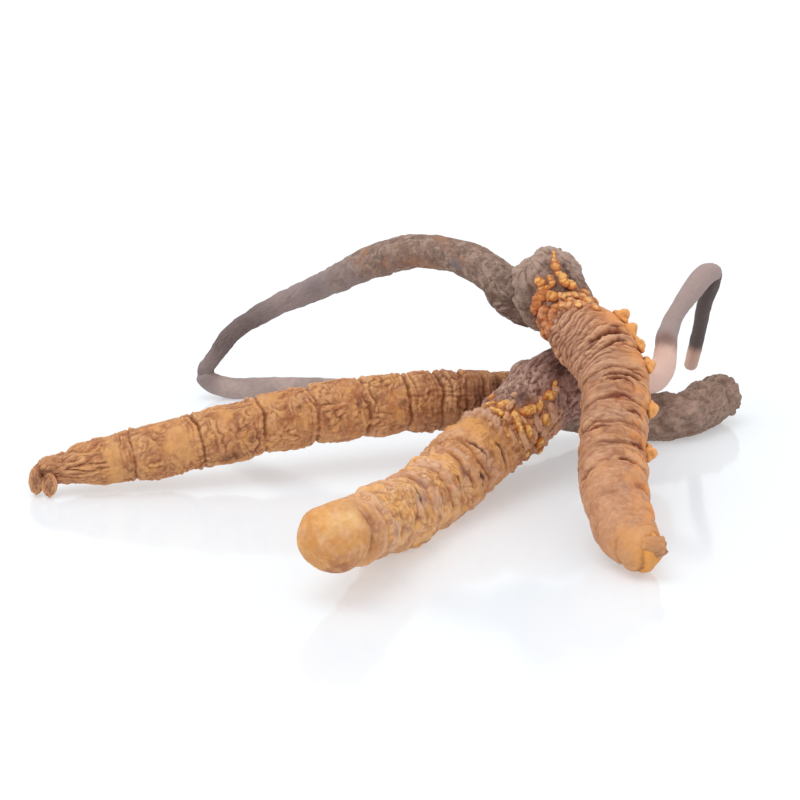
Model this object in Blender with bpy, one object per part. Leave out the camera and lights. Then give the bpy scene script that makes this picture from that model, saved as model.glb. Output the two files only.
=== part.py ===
"""A bundle of three dried cordyceps specimens that lie across one another.

Each specimen is a mummified larva with a fungus growing out of its head. One curved centreline
runs through both, and two solids are swept along it: the ringed larva, and the crust over the
head with the stalk that grows from it. Lengths are in millimetres until a mesh is finished.
"""
import math

import bmesh
import bpy
import numpy as np
from mathutils import Matrix, Vector, noise

METRES_PER_MM = 0.001
GAP = 0.3
BUNDLE_CENTRE = Vector((-0.29, -10.23, 0.0))

# Centrelines, from the tail tip to the end of the stalk: x, y, z and the radius there.
# The floor is z = 0, and the back specimen lies along +X.
LEFT_LINE = [
    (-33.9, -10.8, 2.3, 1.2),
    (-32.3, -10.5, 2.5, 1.4),
    (-31.0, -10.2, 2.7, 1.7),
    (-28.4, -9.6, 3.05, 2.2),
    (-25.6, -9.1, 3.45, 2.5),
    (-22.5, -8.4, 3.9, 2.6),
    (-18.3, -7.4, 4.65, 2.7),
    (-11.0, -5.0, 5.7, 2.85),
    (-3.2, -2.7, 6.2, 2.9),
    (4.0, -0.4, 6.1, 2.9),
    (10.0, 1.7, 5.4, 2.8),
    (15.1, 3.7, 4.4, 2.55),
    (20.2, 4.9, 3.2, 2.4),
    (25.3, 5.3, 2.35, 2.35),
    (28.1, 5.9, 2.2, 2.25),
    (30.1, 7.6, 2.25, 2.35),
    (31.8, 9.6, 2.65, 2.8),
    (33.1, 11.2, 2.65, 2.65),
    (34.3, 12.6, 2.6, 2.3),
]
MIDDLE_LINE = [
    (-7.2, -41.0, 6.3, 3.2),
    (-5.9, -38.4, 5.9, 3.2),
    (-4.5, -35.4, 5.3, 3.1),
    (-3.0, -32.2, 4.6, 2.85),
    (-2.0, -29.2, 4.2, 3.0),
    (-0.2, -25.2, 3.3, 3.15),
    (2.4, -19.8, 2.9, 3.3),
    (4.5, -16.2, 3.3, 3.4),
    (6.7, -13.0, 4.4, 3.45),
    (9.1, -9.6, 5.0, 3.3),
    (12.0, -5.9, 6.3, 3.4),
    (14.1, -3.6, 7.8, 3.6),
    (17.2, -1.7, 8.4, 3.4),
    (19.9, 0.4, 8.5, 3.1),
    (22.3, 2.3, 7.8, 2.3),
    (24.2, 3.3, 7.2, 1.7),
    (25.6, 3.8, 7.0, 1.5),
    (26.5, 4.6, 7.7, 1.4),
    (26.9, 5.8, 9.1, 1.2),
    (27.1, 6.7, 10.3, 1.05),
    (27.7, 8.0, 11.7, 0.9),
    (28.7, 9.4, 13.0, 0.85),
    (29.9, 11.1, 14.2, 0.95),
    (31.3, 12.8, 15.2, 0.95),
    (32.9, 14.0, 15.5, 0.8),
]
MIDDLE_FOLDED_LINE = [
    (32.4, 13.6, 15.4, 0.7),
    (32.3, 14.0, 13.7, 0.7),
    (31.6, 14.6, 11.2, 0.7),
    (31.2, 15.0, 9.5, 0.65),
    (30.8, 15.6, 7.2, 0.65),
    (30.5, 16.0, 5.4, 0.65),
    (30.2, 16.3, 3.9, 0.6),
]
RIGHT_LINE = [
    (24.7, -32.8, 1.9, 0.5),
    (23.6, -33.0, 1.9, 1.4),
    (22.2, -32.6, 2.05, 2.2),
    (21.0, -30.2, 2.55, 2.7),
    (20.1, -26.9, 4.5, 3.05),
    (19.8, -22.2, 6.7, 3.2),
    (20.1, -18.4, 8.8, 3.15),
    (20.5, -14.6, 10.8, 3.2),
    (20.4, -11.6, 12.3, 3.3),
    (19.4, -8.9, 13.7, 3.45),
    (17.6, -6.3, 14.8, 3.35),
    (16.1, -4.0, 16.0, 3.2),
    (14.9, -1.9, 17.5, 3.75),
    (13.7, 1.0, 20.9, 3.6),
]
RIGHT_STALK_LINE = [
    (14.6, -1.2, 17.8, 2.4),
    (12.9, -0.3, 16.6, 2.95),
    (11.4, 0.7, 16.8, 2.7),
    (9.8, 2.3, 17.7, 2.0),
    (7.2, 5.5, 18.6, 1.8),
    (4.6, 8.0, 18.7, 1.7),
    (2.2, 10.1, 18.4, 1.7),
    (-0.2, 12.4, 17.4, 1.75),
    (-2.7, 15.0, 15.9, 1.7),
    (-5.2, 17.2, 14.1, 1.55),
    (-7.8, 19.0, 12.3, 1.4),
    (-12.9, 19.6, 9.8, 1.25),
    (-16.4, 19.2, 7.8, 1.15),
    (-18.0, 19.0, 6.5, 1.1),
    (-19.6, 18.6, 4.3, 1.0),
    (-20.9, 18.4, 2.6, 0.9),
]
RIGHT_FOLDED_LINE = [
    (-21.0, 18.2, 2.9, 0.9),
    (-19.7, 18.3, 1.7, 1.05),
    (-17.9, 18.4, 1.1, 1.1),
    (-14.7, 18.7, 1.0, 1.1),
    (-11.6, 19.0, 1.0, 1.05),
    (-8.4, 19.3, 0.9, 0.95),
    (-5.4, 19.6, 0.8, 0.75),
]

# Distance along each centreline where the larva ends and the crust begins
LEFT_SEAM = 52.0
MIDDLE_SEAM = 38.5
RIGHT_SEAM = 36.6
KNOB_ROUNDING = 2.6

# Ring grooves of each larva, as distances from its tail tip
LEFT_GROOVES = [8.1, 14.7, 20.6, 25.9, 31.4, 35.6, 38.6, 41.7, 44.8, 48.0]
MIDDLE_GROOVES = [9.3, 14.0, 18.5, 23.0, 27.5, 31.5, 35.0]
RIGHT_GROOVES = [4.5, 8.5, 12.5, 16.5, 20.5, 24.5, 28.5, 31.5, 34.0]
GROOVE_DEPTH = 0.3
GROOVE_WIDTH = 0.55

# Legs: distance along the centreline, degrees round it, and half the length, width and height.
# Zero degrees is the side, and 90 is the top.
PROLEG = (0.5, 0.6, 0.75)
LOW_PROLEG = (0.6, 0.6, 0.4)
LEFT_PROLEGS = [(run, degrees, LOW_PROLEG) for run in (17.6, 23.2, 28.6, 33.5) for degrees in (225, 255)]
RIGHT_PROLEGS = [
    (16.8, 22, PROLEG),
    (22.4, 24, PROLEG),
    (26.4, 35, PROLEG),
    (28.3, 42, PROLEG),
    (29.8, 48, PROLEG),
    (31.2, 55, PROLEG),
    (17.0, -35, PROLEG),
    (22.6, -33, PROLEG),
    (26.6, -20, PROLEG),
    (29.2, -12, PROLEG),
]
BEAD = (0.55, 0.5, 0.4)
LONG_BEAD = (0.85, 0.42, 0.4)
RIGHT_LARVA_LEGS = [
    (34.7, 90, BEAD),
    (33.4, 95, BEAD),
    (35.3, 118, LONG_BEAD),
    (34.0, 122, BEAD),
    (35.2, 142, BEAD),
    (35.0, 160, BEAD),
]
RIGHT_CRUST_LEGS = [
    (40.2, 111, LONG_BEAD),
    (38.9, 107, BEAD),
    (37.9, 100, LONG_BEAD),
    (38.4, 144, BEAD),
    (37.9, 130, BEAD),
]
MIDDLE_LARVA_LEGS = [
    (36.1, 53, BEAD),
    (36.9, 87, LONG_BEAD),
    (37.0, 20, BEAD),
    (33.4, 95, LONG_BEAD),
]
MIDDLE_CRUST_LEGS = [
    (39.7, 38, LONG_BEAD),
    (40.9, 41, BEAD),
    (42.7, 35, BEAD),
    (43.0, 59, BEAD),
    (40.1, 20, BEAD),
]
# The two claspers that hang from the left tail, and the plate above them: centre and half size
LEFT_CLASPERS = [
    ((-35.2, -11.0, 1.45), (0.75, 0.85, 1.45)),
    ((-33.8, -12.0, 1.35), (0.8, 0.75, 1.35)),
    ((-34.2, -11.1, 2.9), (1.5, 1.1, 0.95)),
]

LARVA_SIDES = 18
CRUST_SIDES = 16
FOLD_SIDES = 12
LEG_SIDES = 6
CLASPER_SIDES = 10
LARVA_STEP = 1.9
CRUST_STEP = 1.7
KNOB_STEP = 1.2
# Where the rings of a rounded end stand, as shares of its length
DOME_SHARES = (0.06, 0.25, 0.6)
SAMPLE_STEP = 0.05

# Width of the bumps that noise raises on a larva and on the crust
LARVA_BUMP = 2.5
CRUST_BUMP = 1.8
SMOOTH_STALK_SHARE = 1 / 3
# How far out of the skin the middle of a leg stands, as a share of its height
LEG_STAND = 0.25

SKIN_COLOUR = (0.58, 0.27, 0.09)
SKIN_ROUGHNESS = 0.6
CRUST_COLOUR = (0.22, 0.15, 0.13)
CRUST_ROUGHNESS = 0.85


def smooth_line(points):
    """Even samples of one smooth curve through the points, radius included."""
    knots = np.array(points, dtype=float)
    spans = np.linalg.norm(np.diff(knots[:, :3], axis=0), axis=1)
    slopes = np.diff(knots, axis=0) / spans[:, None]
    before = spans[:-1, None]
    after = spans[1:, None]
    inner = (slopes[:-1] * after + slopes[1:] * before) / (before + after)
    tangents = np.vstack([slopes[:1], inner, slopes[-1:]])
    pieces = []
    for index, span in enumerate(spans):
        t = np.linspace(0.0, 1.0, max(4, int(span / SAMPLE_STEP)), endpoint=False)[:, None]
        pieces.append(
            (2 * t**3 - 3 * t**2 + 1) * knots[index]
            + (t**3 - 2 * t**2 + t) * span * tangents[index]
            + (3 * t**2 - 2 * t**3) * knots[index + 1]
            + (t**3 - t**2) * span * tangents[index + 1]
        )
    samples = np.vstack(pieces + [knots[-1:]])
    runs = np.concatenate([[0.0], np.cumsum(np.linalg.norm(np.diff(samples[:, :3], axis=0), axis=1))])
    even = np.linspace(0.0, runs[-1], int(runs[-1] / SAMPLE_STEP) + 1)
    return even, np.stack([np.interp(even, runs, samples[:, axis]) for axis in range(4)], axis=1)


class Centreline:
    """A smooth curve with a radius and a frame that doesn't twist along it."""

    def __init__(self, points):
        self.runs, samples = smooth_line(points)
        self.length = self.runs[-1]
        self.radii = samples[:, 3]
        self.centres = samples[:, :3]
        ahead = np.gradient(self.centres, axis=0)
        self.tangents = ahead / np.linalg.norm(ahead, axis=1)[:, None]
        self.ups = np.zeros_like(self.centres)
        up = np.array([0.0, 0.0, 1.0])
        for index, tangent in enumerate(self.tangents):
            up = up - tangent * np.dot(up, tangent)
            up = up / np.linalg.norm(up)
            self.ups[index] = up

    def at(self, run):
        """Centre, radius, tangent, side and up at a distance along the line."""
        index = min(int(round(run / SAMPLE_STEP)), len(self.runs) - 1)
        tangent = self.tangents[index]
        up = self.ups[index]
        return self.centres[index], self.radii[index], tangent, np.cross(tangent, up), up

    def on_skin(self, run, degrees, height=0.0):
        """A point on the surface, the way out of it there, and the tangent."""
        centre, radius, tangent, side, up = self.at(run)
        angle = math.radians(degrees)
        outward = side * math.cos(angle) + up * math.sin(angle)
        return Vector(centre + outward * (radius + height)), Vector(outward), Vector(tangent)


def stations(start, end, step, grooves=()):
    """Ring places: three across each groove, and even steps between them."""
    fixed = [start, end]
    for groove in grooves:
        if start + GROOVE_WIDTH < groove < end - GROOVE_WIDTH:
            fixed += [groove - GROOVE_WIDTH, groove, groove + GROOVE_WIDTH]
    fixed.sort()
    places = []
    for low, high in zip(fixed, fixed[1:]):
        count = max(1, math.ceil((high - low) / step))
        places += [low + (high - low) * k / count for k in range(count)]
    return places + [end]


def rounded_stations(start, end, step, round_start, round_end, grooves=()):
    """Stations with close rings in the rounded ends, whose tips are left to the poles."""
    places = stations(start + round_start, end - round_end, step, grooves)
    head = [start + round_start * share for share in DOME_SHARES if round_start]
    tail = [end - round_end * share for share in reversed(DOME_SHARES) if round_end]
    return head + places + tail


def end_rounding(run, start, end, round_start, round_end):
    """How much of the radius is left where an end is rounded off like a dome."""
    share = 1.0
    for distance, reach in ((run - start, round_start), (end - run, round_end)):
        if reach and distance < reach:
            share *= math.sqrt(max(0.0, 1.0 - (1.0 - distance / reach) ** 2))
    return share


def swept_skin(name, line, places, sides, relief, poles):
    """A closed tube of rings at the places, with a point at each end of it."""
    vertices = []
    for run in places:
        centre, radius, _, side, up = line.at(run)
        for k in range(sides):
            angle = 2 * math.pi * k / sides
            outward = side * math.cos(angle) + up * math.sin(angle)
            vertices.append(centre + outward * radius * relief(run, angle))
    faces = []
    for ring in range(len(places) - 1):
        for k in range(sides):
            a = ring * sides + k
            b = ring * sides + (k + 1) % sides
            faces.append((a, a + sides, b + sides, b))
    first_pole = len(vertices)
    vertices += [line.at(poles[0])[0], line.at(poles[1])[0]]
    last_ring = (len(places) - 1) * sides
    for k in range(sides):
        after = (k + 1) % sides
        faces.append((first_pole, k, after))
        faces.append((first_pole + 1, last_ring + after, last_ring + k))
    grounded = [(x, y, max(z, 0.0)) for x, y, z in vertices]
    mesh = bpy.data.meshes.new(name)
    mesh.from_pydata(grounded, [], faces)
    mesh.shade_smooth()
    obj = bpy.data.objects.new(name, mesh)
    bpy.context.scene.collection.objects.link(obj)
    return obj


def uneven(line, run, angle, size, seed):
    """Smooth noise on the surface, from -1 to 1."""
    centre, radius, _, side, up = line.at(run)
    point = centre + (side * math.cos(angle) + up * math.sin(angle)) * radius
    return noise.noise(Vector(point) / size + Vector((seed, 0.0, 0.0)))


def add_larva(name, points, seam, grooves, round_tail, lumpiness, seed):
    """The ringed body, from its tail tip to the flat face under the crust."""
    line = Centreline(points)
    end = seam - GAP / 2

    def relief(run, angle):
        share = end_rounding(run, 0.0, end, round_tail, 0.0)
        groove = sum(math.exp(-(((run - place) / GROOVE_WIDTH) ** 2)) for place in grooves)
        share -= min(groove, 1.0) * GROOVE_DEPTH / line.at(run)[1]
        return share * (1.0 + lumpiness * uneven(line, run, angle, LARVA_BUMP, seed))

    places = rounded_stations(0.0, end, LARVA_STEP, round_tail, 0.0, grooves)
    return line, swept_skin(name, line, places, LARVA_SIDES, relief, (0.0, end))


def add_stroma(name, points, seam, round_tip, lumpiness, crust_end, seed, step=CRUST_STEP, sides=CRUST_SIDES):
    """The crust from the seam on, rough as far as crust_end, with a rounded tip.

    With no seam it is a stalk whose two ends are both rounded.
    """
    line = Centreline(points)
    start = seam + GAP / 2 if seam else 0.0
    round_start = 0.0 if seam else round_tip

    def relief(run, angle):
        share = end_rounding(run, start, line.length, round_start, round_tip)
        rough = lumpiness if run < crust_end else lumpiness * SMOOTH_STALK_SHARE
        return share * (1.0 + rough * uneven(line, run, angle, CRUST_BUMP, seed))

    places = rounded_stations(start, line.length, step, round_start, round_tip)
    return swept_skin(name, line, places, sides, relief, (start, line.length))


def lump(centre, size, sides, along=Vector((1.0, 0.0, 0.0)), outward=Vector((0.0, 0.0, 1.0))):
    """An egg-shaped solid, size being half its length along, across and outward."""
    bm = bmesh.new()
    bmesh.ops.create_uvsphere(bm, u_segments=sides, v_segments=sides // 2 + 1, radius=1.0)
    across = outward.cross(along).normalized()
    along = across.cross(outward).normalized()
    turn = Matrix((along, across, outward)).transposed().to_4x4()
    bm.transform(Matrix.Translation(centre) @ turn @ Matrix.Diagonal((*size, 1.0)))
    mesh = bpy.data.meshes.new("lump")
    bm.to_mesh(mesh)
    bm.free()
    obj = bpy.data.objects.new("lump", mesh)
    bpy.context.scene.collection.objects.link(obj)
    return obj


def legs_on(line, places, round_tip=0.0):
    """A half-sunk lump for each leg, lower where the crust is rounded off."""
    lumps = []
    for run, degrees, size in places:
        share = end_rounding(run, 0.0, line.length, 0.0, round_tip)
        sunk = line.at(run)[1] * (share - 1.0)
        centre, outward, along = line.on_skin(run, degrees, sunk + size[2] * LEG_STAND)
        lumps.append(lump(centre, size, LEG_SIDES, along, outward))
    return lumps


def fuse(body, extras):
    """Joins each extra solid to the body in turn, so that one closed solid is left."""
    for extra in extras:
        union = body.modifiers.new("Fused", "BOOLEAN")
        union.operation = "UNION"
        union.solver = "EXACT"
        union.object = extra
        bpy.context.view_layer.update()
        graph = bpy.context.evaluated_depsgraph_get()
        fused = bpy.data.meshes.new_from_object(body.evaluated_get(graph))
        body.modifiers.clear()
        body.data = fused
        bpy.data.objects.remove(extra)
    body.data.shade_smooth()


def material(name, colour, roughness):
    made = bpy.data.materials.new(name)
    made.use_nodes = True
    shader = made.node_tree.nodes["Principled BSDF"]
    shader.inputs["Base Color"].default_value = (*colour, 1.0)
    shader.inputs["Roughness"].default_value = roughness
    shader.inputs["Metallic"].default_value = 0.0
    return made


def finish(obj, look):
    """Moves a piece to the bundle's own origin, in metres, and gives it its material."""
    obj.data.transform(Matrix.Scale(METRES_PER_MM, 4) @ Matrix.Translation(-BUNDLE_CENTRE))
    obj.data.materials.clear()
    obj.data.materials.append(look)


def clear_scene():
    for obj in list(bpy.data.objects):
        bpy.data.objects.remove(obj)


def left_specimen():
    line, larva = add_larva(
        "larva_left", LEFT_LINE, LEFT_SEAM, LEFT_GROOVES, round_tail=0.8, lumpiness=0.05, seed=3.0
    )
    stroma = add_stroma(
        "stroma_left", LEFT_LINE, LEFT_SEAM, round_tip=1.8, lumpiness=0.12, crust_end=math.inf, seed=27.0
    )
    claspers = [lump(Vector(centre), size, CLASPER_SIDES) for centre, size in LEFT_CLASPERS]
    fuse(larva, claspers + legs_on(line, LEFT_PROLEGS))
    return larva, stroma


def middle_specimen():
    line, larva = add_larva(
        "larva_middle", MIDDLE_LINE, MIDDLE_SEAM, MIDDLE_GROOVES, round_tail=2.8, lumpiness=0.09, seed=11.0
    )
    stroma = add_stroma(
        "stroma_middle", MIDDLE_LINE, MIDDLE_SEAM, round_tip=0.5, lumpiness=0.12, crust_end=52.0, seed=35.0
    )
    folded = dict(lumpiness=0.1, crust_end=0.0, step=LARVA_STEP, sides=FOLD_SIDES)
    fold = add_stroma("fold", MIDDLE_FOLDED_LINE, None, round_tip=0.5, seed=51.0, **folded)
    fuse(larva, legs_on(line, MIDDLE_LARVA_LEGS))
    fuse(stroma, [fold] + legs_on(line, MIDDLE_CRUST_LEGS))
    return larva, stroma


def right_specimen():
    line, larva = add_larva(
        "larva_right", RIGHT_LINE, RIGHT_SEAM, RIGHT_GROOVES, round_tail=0.5, lumpiness=0.06, seed=19.0
    )
    knob = dict(round_tip=KNOB_ROUNDING, lumpiness=0.12, crust_end=math.inf, step=KNOB_STEP)
    stroma = add_stroma("stroma_right", RIGHT_LINE, RIGHT_SEAM, seed=43.0, **knob)
    slim = dict(round_tip=0.6, step=LARVA_STEP, sides=FOLD_SIDES)
    stalk = add_stroma("stalk", RIGHT_STALK_LINE, None, lumpiness=0.14, crust_end=8.0, seed=67.0, **slim)
    fold = add_stroma("fold", RIGHT_FOLDED_LINE, None, lumpiness=0.1, crust_end=0.0, seed=59.0, **slim)
    fuse(larva, legs_on(line, RIGHT_PROLEGS + RIGHT_LARVA_LEGS))
    fuse(stroma, [stalk, fold] + legs_on(line, RIGHT_CRUST_LEGS, KNOB_ROUNDING))
    return larva, stroma


def main():
    clear_scene()
    skin = material("dried larva skin", SKIN_COLOUR, SKIN_ROUGHNESS)
    crust = material("dried fungus", CRUST_COLOUR, CRUST_ROUGHNESS)
    for larva, stroma in (left_specimen(), middle_specimen(), right_specimen()):
        finish(larva, skin)
        finish(stroma, crust)


main()
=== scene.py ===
"""Looks for a bundle of three dried cordyceps specimens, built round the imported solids.

Each specimen is a ringed larva with a crust of fungus over its head and a stalk growing from it.
A piece is a fine grid of points wrapped round a centreline and raised or lowered by folds, grooves
and grains, with lumps and fibres joined to it. Masks on its points tell the materials where the
creases, patches and beads are. Lengths are in millimetres until a mesh is made.
"""
import itertools
import math

import bmesh
import bpy
import numpy as np
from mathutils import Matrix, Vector


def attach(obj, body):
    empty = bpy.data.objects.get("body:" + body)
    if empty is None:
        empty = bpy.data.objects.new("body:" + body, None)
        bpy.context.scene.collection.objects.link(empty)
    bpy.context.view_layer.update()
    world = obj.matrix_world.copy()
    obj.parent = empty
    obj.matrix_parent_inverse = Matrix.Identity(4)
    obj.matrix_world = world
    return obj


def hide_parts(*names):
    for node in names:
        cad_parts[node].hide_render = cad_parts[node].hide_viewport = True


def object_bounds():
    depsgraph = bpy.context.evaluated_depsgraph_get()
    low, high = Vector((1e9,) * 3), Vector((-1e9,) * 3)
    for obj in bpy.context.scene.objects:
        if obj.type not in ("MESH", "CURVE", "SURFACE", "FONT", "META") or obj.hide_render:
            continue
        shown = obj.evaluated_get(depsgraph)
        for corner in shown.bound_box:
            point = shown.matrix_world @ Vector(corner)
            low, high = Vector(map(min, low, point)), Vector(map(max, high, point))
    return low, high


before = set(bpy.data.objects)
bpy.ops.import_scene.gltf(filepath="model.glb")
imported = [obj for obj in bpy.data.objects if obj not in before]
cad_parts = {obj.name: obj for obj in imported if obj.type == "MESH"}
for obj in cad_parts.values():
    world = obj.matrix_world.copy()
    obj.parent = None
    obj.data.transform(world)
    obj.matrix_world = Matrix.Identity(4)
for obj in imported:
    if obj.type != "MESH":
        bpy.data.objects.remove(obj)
CAD_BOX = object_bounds()

METRES_PER_MM = 0.001
BUNDLE_CENTRE = np.array([-0.29, -10.23, 0.0])

# Centrelines, from the tail tip to the end of the stalk: x, y, z and the radius there.
# They are the ones that the solids were swept along.
LEFT_LINE = [
    (-33.9, -10.8, 2.3, 1.2), (-32.3, -10.5, 2.5, 1.4), (-31.0, -10.2, 2.7, 1.7),
    (-28.4, -9.6, 3.05, 2.2), (-25.6, -9.1, 3.45, 2.5), (-22.5, -8.4, 3.9, 2.6),
    (-18.3, -7.4, 4.65, 2.7), (-11.0, -5.0, 5.7, 2.85), (-3.2, -2.7, 6.2, 2.9),
    (4.0, -0.4, 6.1, 2.9), (10.0, 1.7, 5.4, 2.8), (15.1, 3.7, 4.4, 2.55), (20.2, 4.9, 3.2, 2.4),
    (25.3, 5.3, 2.35, 2.35), (28.1, 5.9, 2.2, 2.25), (30.1, 7.6, 2.25, 2.35),
    (31.8, 9.6, 2.65, 2.8), (33.1, 11.2, 2.65, 2.65), (34.3, 12.6, 2.6, 2.3),
]
MIDDLE_LINE = [
    (-7.2, -41.0, 6.3, 3.2), (-5.9, -38.4, 5.9, 3.2), (-4.5, -35.4, 5.3, 3.1),
    (-3.0, -32.2, 4.6, 2.85), (-2.0, -29.2, 4.2, 3.0), (-0.2, -25.2, 3.3, 3.15),
    (2.4, -19.8, 2.9, 3.3), (4.5, -16.2, 3.3, 3.4), (6.7, -13.0, 4.4, 3.45), (9.1, -9.6, 5.0, 3.3),
    (12.0, -5.9, 6.3, 3.4), (14.1, -3.6, 7.8, 3.6), (17.2, -1.7, 8.4, 3.4), (19.9, 0.4, 8.5, 3.1),
    (22.3, 2.3, 7.8, 2.3), (24.2, 3.3, 7.2, 1.7), (25.6, 3.8, 7.0, 1.5), (26.5, 4.6, 7.7, 1.4),
    (26.9, 5.8, 9.1, 1.2), (27.1, 6.7, 10.3, 1.05), (27.7, 8.0, 11.7, 0.9), (28.7, 9.4, 13.0, 0.85),
    (29.9, 11.1, 14.2, 0.95), (31.3, 12.8, 15.2, 0.95), (32.9, 14.0, 15.5, 0.8),
]
MIDDLE_FOLDED_LINE = [
    (32.4, 13.6, 15.4, 0.7), (32.3, 14.0, 13.7, 0.7), (31.6, 14.6, 11.2, 0.7),
    (31.2, 15.0, 9.5, 0.65), (30.8, 15.6, 7.2, 0.65), (30.5, 16.0, 5.4, 0.65),
    (30.2, 16.3, 3.9, 0.6),
]
RIGHT_LINE = [
    (24.7, -32.8, 1.9, 0.5), (23.6, -33.0, 1.9, 1.4), (22.2, -32.6, 2.05, 2.2),
    (21.0, -30.2, 2.55, 2.7), (20.1, -26.9, 4.5, 3.05), (19.8, -22.2, 6.7, 3.2),
    (20.1, -18.4, 8.8, 3.15), (20.5, -14.6, 10.8, 3.2), (20.4, -11.6, 12.3, 3.3),
    (19.4, -8.9, 13.7, 3.45), (17.6, -6.3, 14.8, 3.35), (16.1, -4.0, 16.0, 3.2),
    (14.9, -1.9, 17.5, 3.75), (13.7, 1.0, 20.9, 3.6),
]
RIGHT_STALK_LINE = [
    (14.6, -1.2, 17.8, 2.4), (12.9, -0.3, 16.6, 2.95), (11.4, 0.7, 16.8, 2.7),
    (9.8, 2.3, 17.7, 2.0), (7.2, 5.5, 18.6, 1.8), (4.6, 8.0, 18.7, 1.7), (2.2, 10.1, 18.4, 1.7),
    (-0.2, 12.4, 17.4, 1.75), (-2.7, 15.0, 15.9, 1.7), (-5.2, 17.2, 14.1, 1.55),
    (-7.8, 19.0, 12.3, 1.4), (-12.9, 19.6, 9.8, 1.25), (-16.4, 19.2, 7.8, 1.15),
    (-18.0, 19.0, 6.5, 1.1), (-19.6, 18.6, 4.3, 1.0), (-20.9, 18.4, 2.6, 0.9),
]
RIGHT_FOLDED_LINE = [
    (-21.0, 18.2, 2.9, 0.9), (-19.7, 18.3, 1.7, 1.05), (-17.9, 18.4, 1.1, 1.1),
    (-14.7, 18.7, 1.0, 1.1), (-11.6, 19.0, 1.0, 1.05), (-8.4, 19.3, 0.9, 0.95),
    (-5.4, 19.6, 0.8, 0.75),
]
# The nub on the right tail
RIGHT_NUB_LINE = [
    (21.4, -33.4, 3.35, 0.5), (22.6, -33.6, 3.35, 0.85), (23.9, -33.5, 3.15, 0.95),
]

# Distances at which the crust takes over from the larva
LEFT_SEAM = 52.0
MIDDLE_SEAM = 38.5
RIGHT_SEAM = 36.6
# How much of its length the right crust knob takes to round off
KNOB_ROUNDING = 2.6

# Ring grooves: distance from the tail tip, depth, half width and the lip that stands up after it
LEFT_RINGS = [
    (8.1, 0.24, 0.13, 0.20), (14.7, 0.30, 0.16, 0.20), (20.0, 0.12, 0.12, 0.0),
    (20.9, 0.32, 0.16, 0.14), (25.6, 0.16, 0.12, 0.0), (26.3, 0.42, 0.20, 0.12),
    (31.4, 0.50, 0.21, 0.05), (32.2, 0.14, 0.12, 0.10), (35.7, 0.36, 0.16, 0.08),
    (36.4, 0.18, 0.12, 0.06), (39.0, 0.36, 0.16, 0.04), (39.8, 0.18, 0.12, 0.06),
    (40.6, 0.16, 0.12, 0.0), (41.4, 0.36, 0.16, 0.08), (43.3, 0.38, 0.22, 0.04),
    (45.0, 0.40, 0.22, 0.04), (48.0, 0.38, 0.20, 0.04),
]
# Where a middle segment overlaps the next underneath, and where the torn collar ends
MIDDLE_STEP = 18.4
COLLAR_EDGE = 34.1
# Where the body is narrowest, between one swelling and the next
LEFT_SEGMENTS = (0.0, 8.1, 14.7, 20.9, 26.3, 31.4, 35.7, 39.0, 41.3, 45.0, 48.0)
MIDDLE_RINGS = [
    (8.4, 0.26, 0.45, 0.10), (11.6, 0.12, 0.35, 0.05), (14.4, 0.28, 0.38, 0.12),
    (18.6, 0.46, 0.34, 0.26), (22.8, 0.30, 0.32, 0.12), (27.2, 0.40, 0.28, 0.18),
    (29.8, 0.26, 0.24, 0.10),
]
MIDDLE_SEGMENTS = (5.5, 8.4, 11.6, 14.4, 18.6, 22.8, 27.2, 29.8, 33.0)
RIGHT_RINGS = [
    (2.6, 0.16, 0.24, 0.04), (4.2, 0.12, 0.34, 0.05), (6.8, 0.10, 0.26, 0.03),
    (9.2, 0.12, 0.40, 0.04), (12.4, 0.26, 0.26, 0.10), (15.0, 0.18, 0.22, 0.04),
    (17.8, 0.24, 0.22, 0.10), (20.6, 0.22, 0.18, 0.06), (24.6, 0.24, 0.16, 0.08),
    (27.3, 0.22, 0.14, 0.06), (29.6, 0.18, 0.14, 0.05), (33.4, 0.22, 0.14, 0.10),
]
RIGHT_SEGMENTS = (0.0, 4.2, 9.2, 12.4, 17.8, 20.6, 24.6, 27.3, 33.4)
# Deep gashes: distance, degrees round the body, half length in degrees, half width and depth
RIGHT_GASHES = [
    (28.9, 104, 44, 0.26, 0.85), (27.8, 100, 24, 0.16, 0.36), (29.6, 84, 22, 0.16, 0.30),
    (23.5, 100, 36, 0.24, 0.80), (22.8, 104, 26, 0.16, 0.34), (24.3, 74, 20, 0.16, 0.26),
    (21.0, 100, 26, 0.18, 0.30), (19.2, 70, 20, 0.18, 0.28), (15.6, 62, 20, 0.20, 0.32),
    (12.6, 86, 17, 0.20, 0.50), (17.2, 140, 24, 0.16, 0.18),
]
MIDDLE_GASHES = [
    (32.5, 17, 21, 0.20, 0.60), (30.4, 50, 22, 0.18, 0.35), (28.6, 10, 16, 0.18, 0.30),
    (21.0, 70, 14, 0.22, 0.30), (24.6, 28, 18, 0.18, 0.26), (16.6, 44, 18, 0.18, 0.24),
]

# Legs: distance, degrees round the body and the height of the cone
RIGHT_PROLEGS = [
    (16.3, 22, 0.95), (21.8, 24, 0.9), (26.3, 36, 0.85), (28.2, 44, 0.7), (29.7, 47, 1.05),
    (30.9, 53, 1.2), (17.0, -35, 0.9), (22.6, -33, 0.9), (26.6, -20, 0.8), (29.2, -12, 0.8),
]
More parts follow.
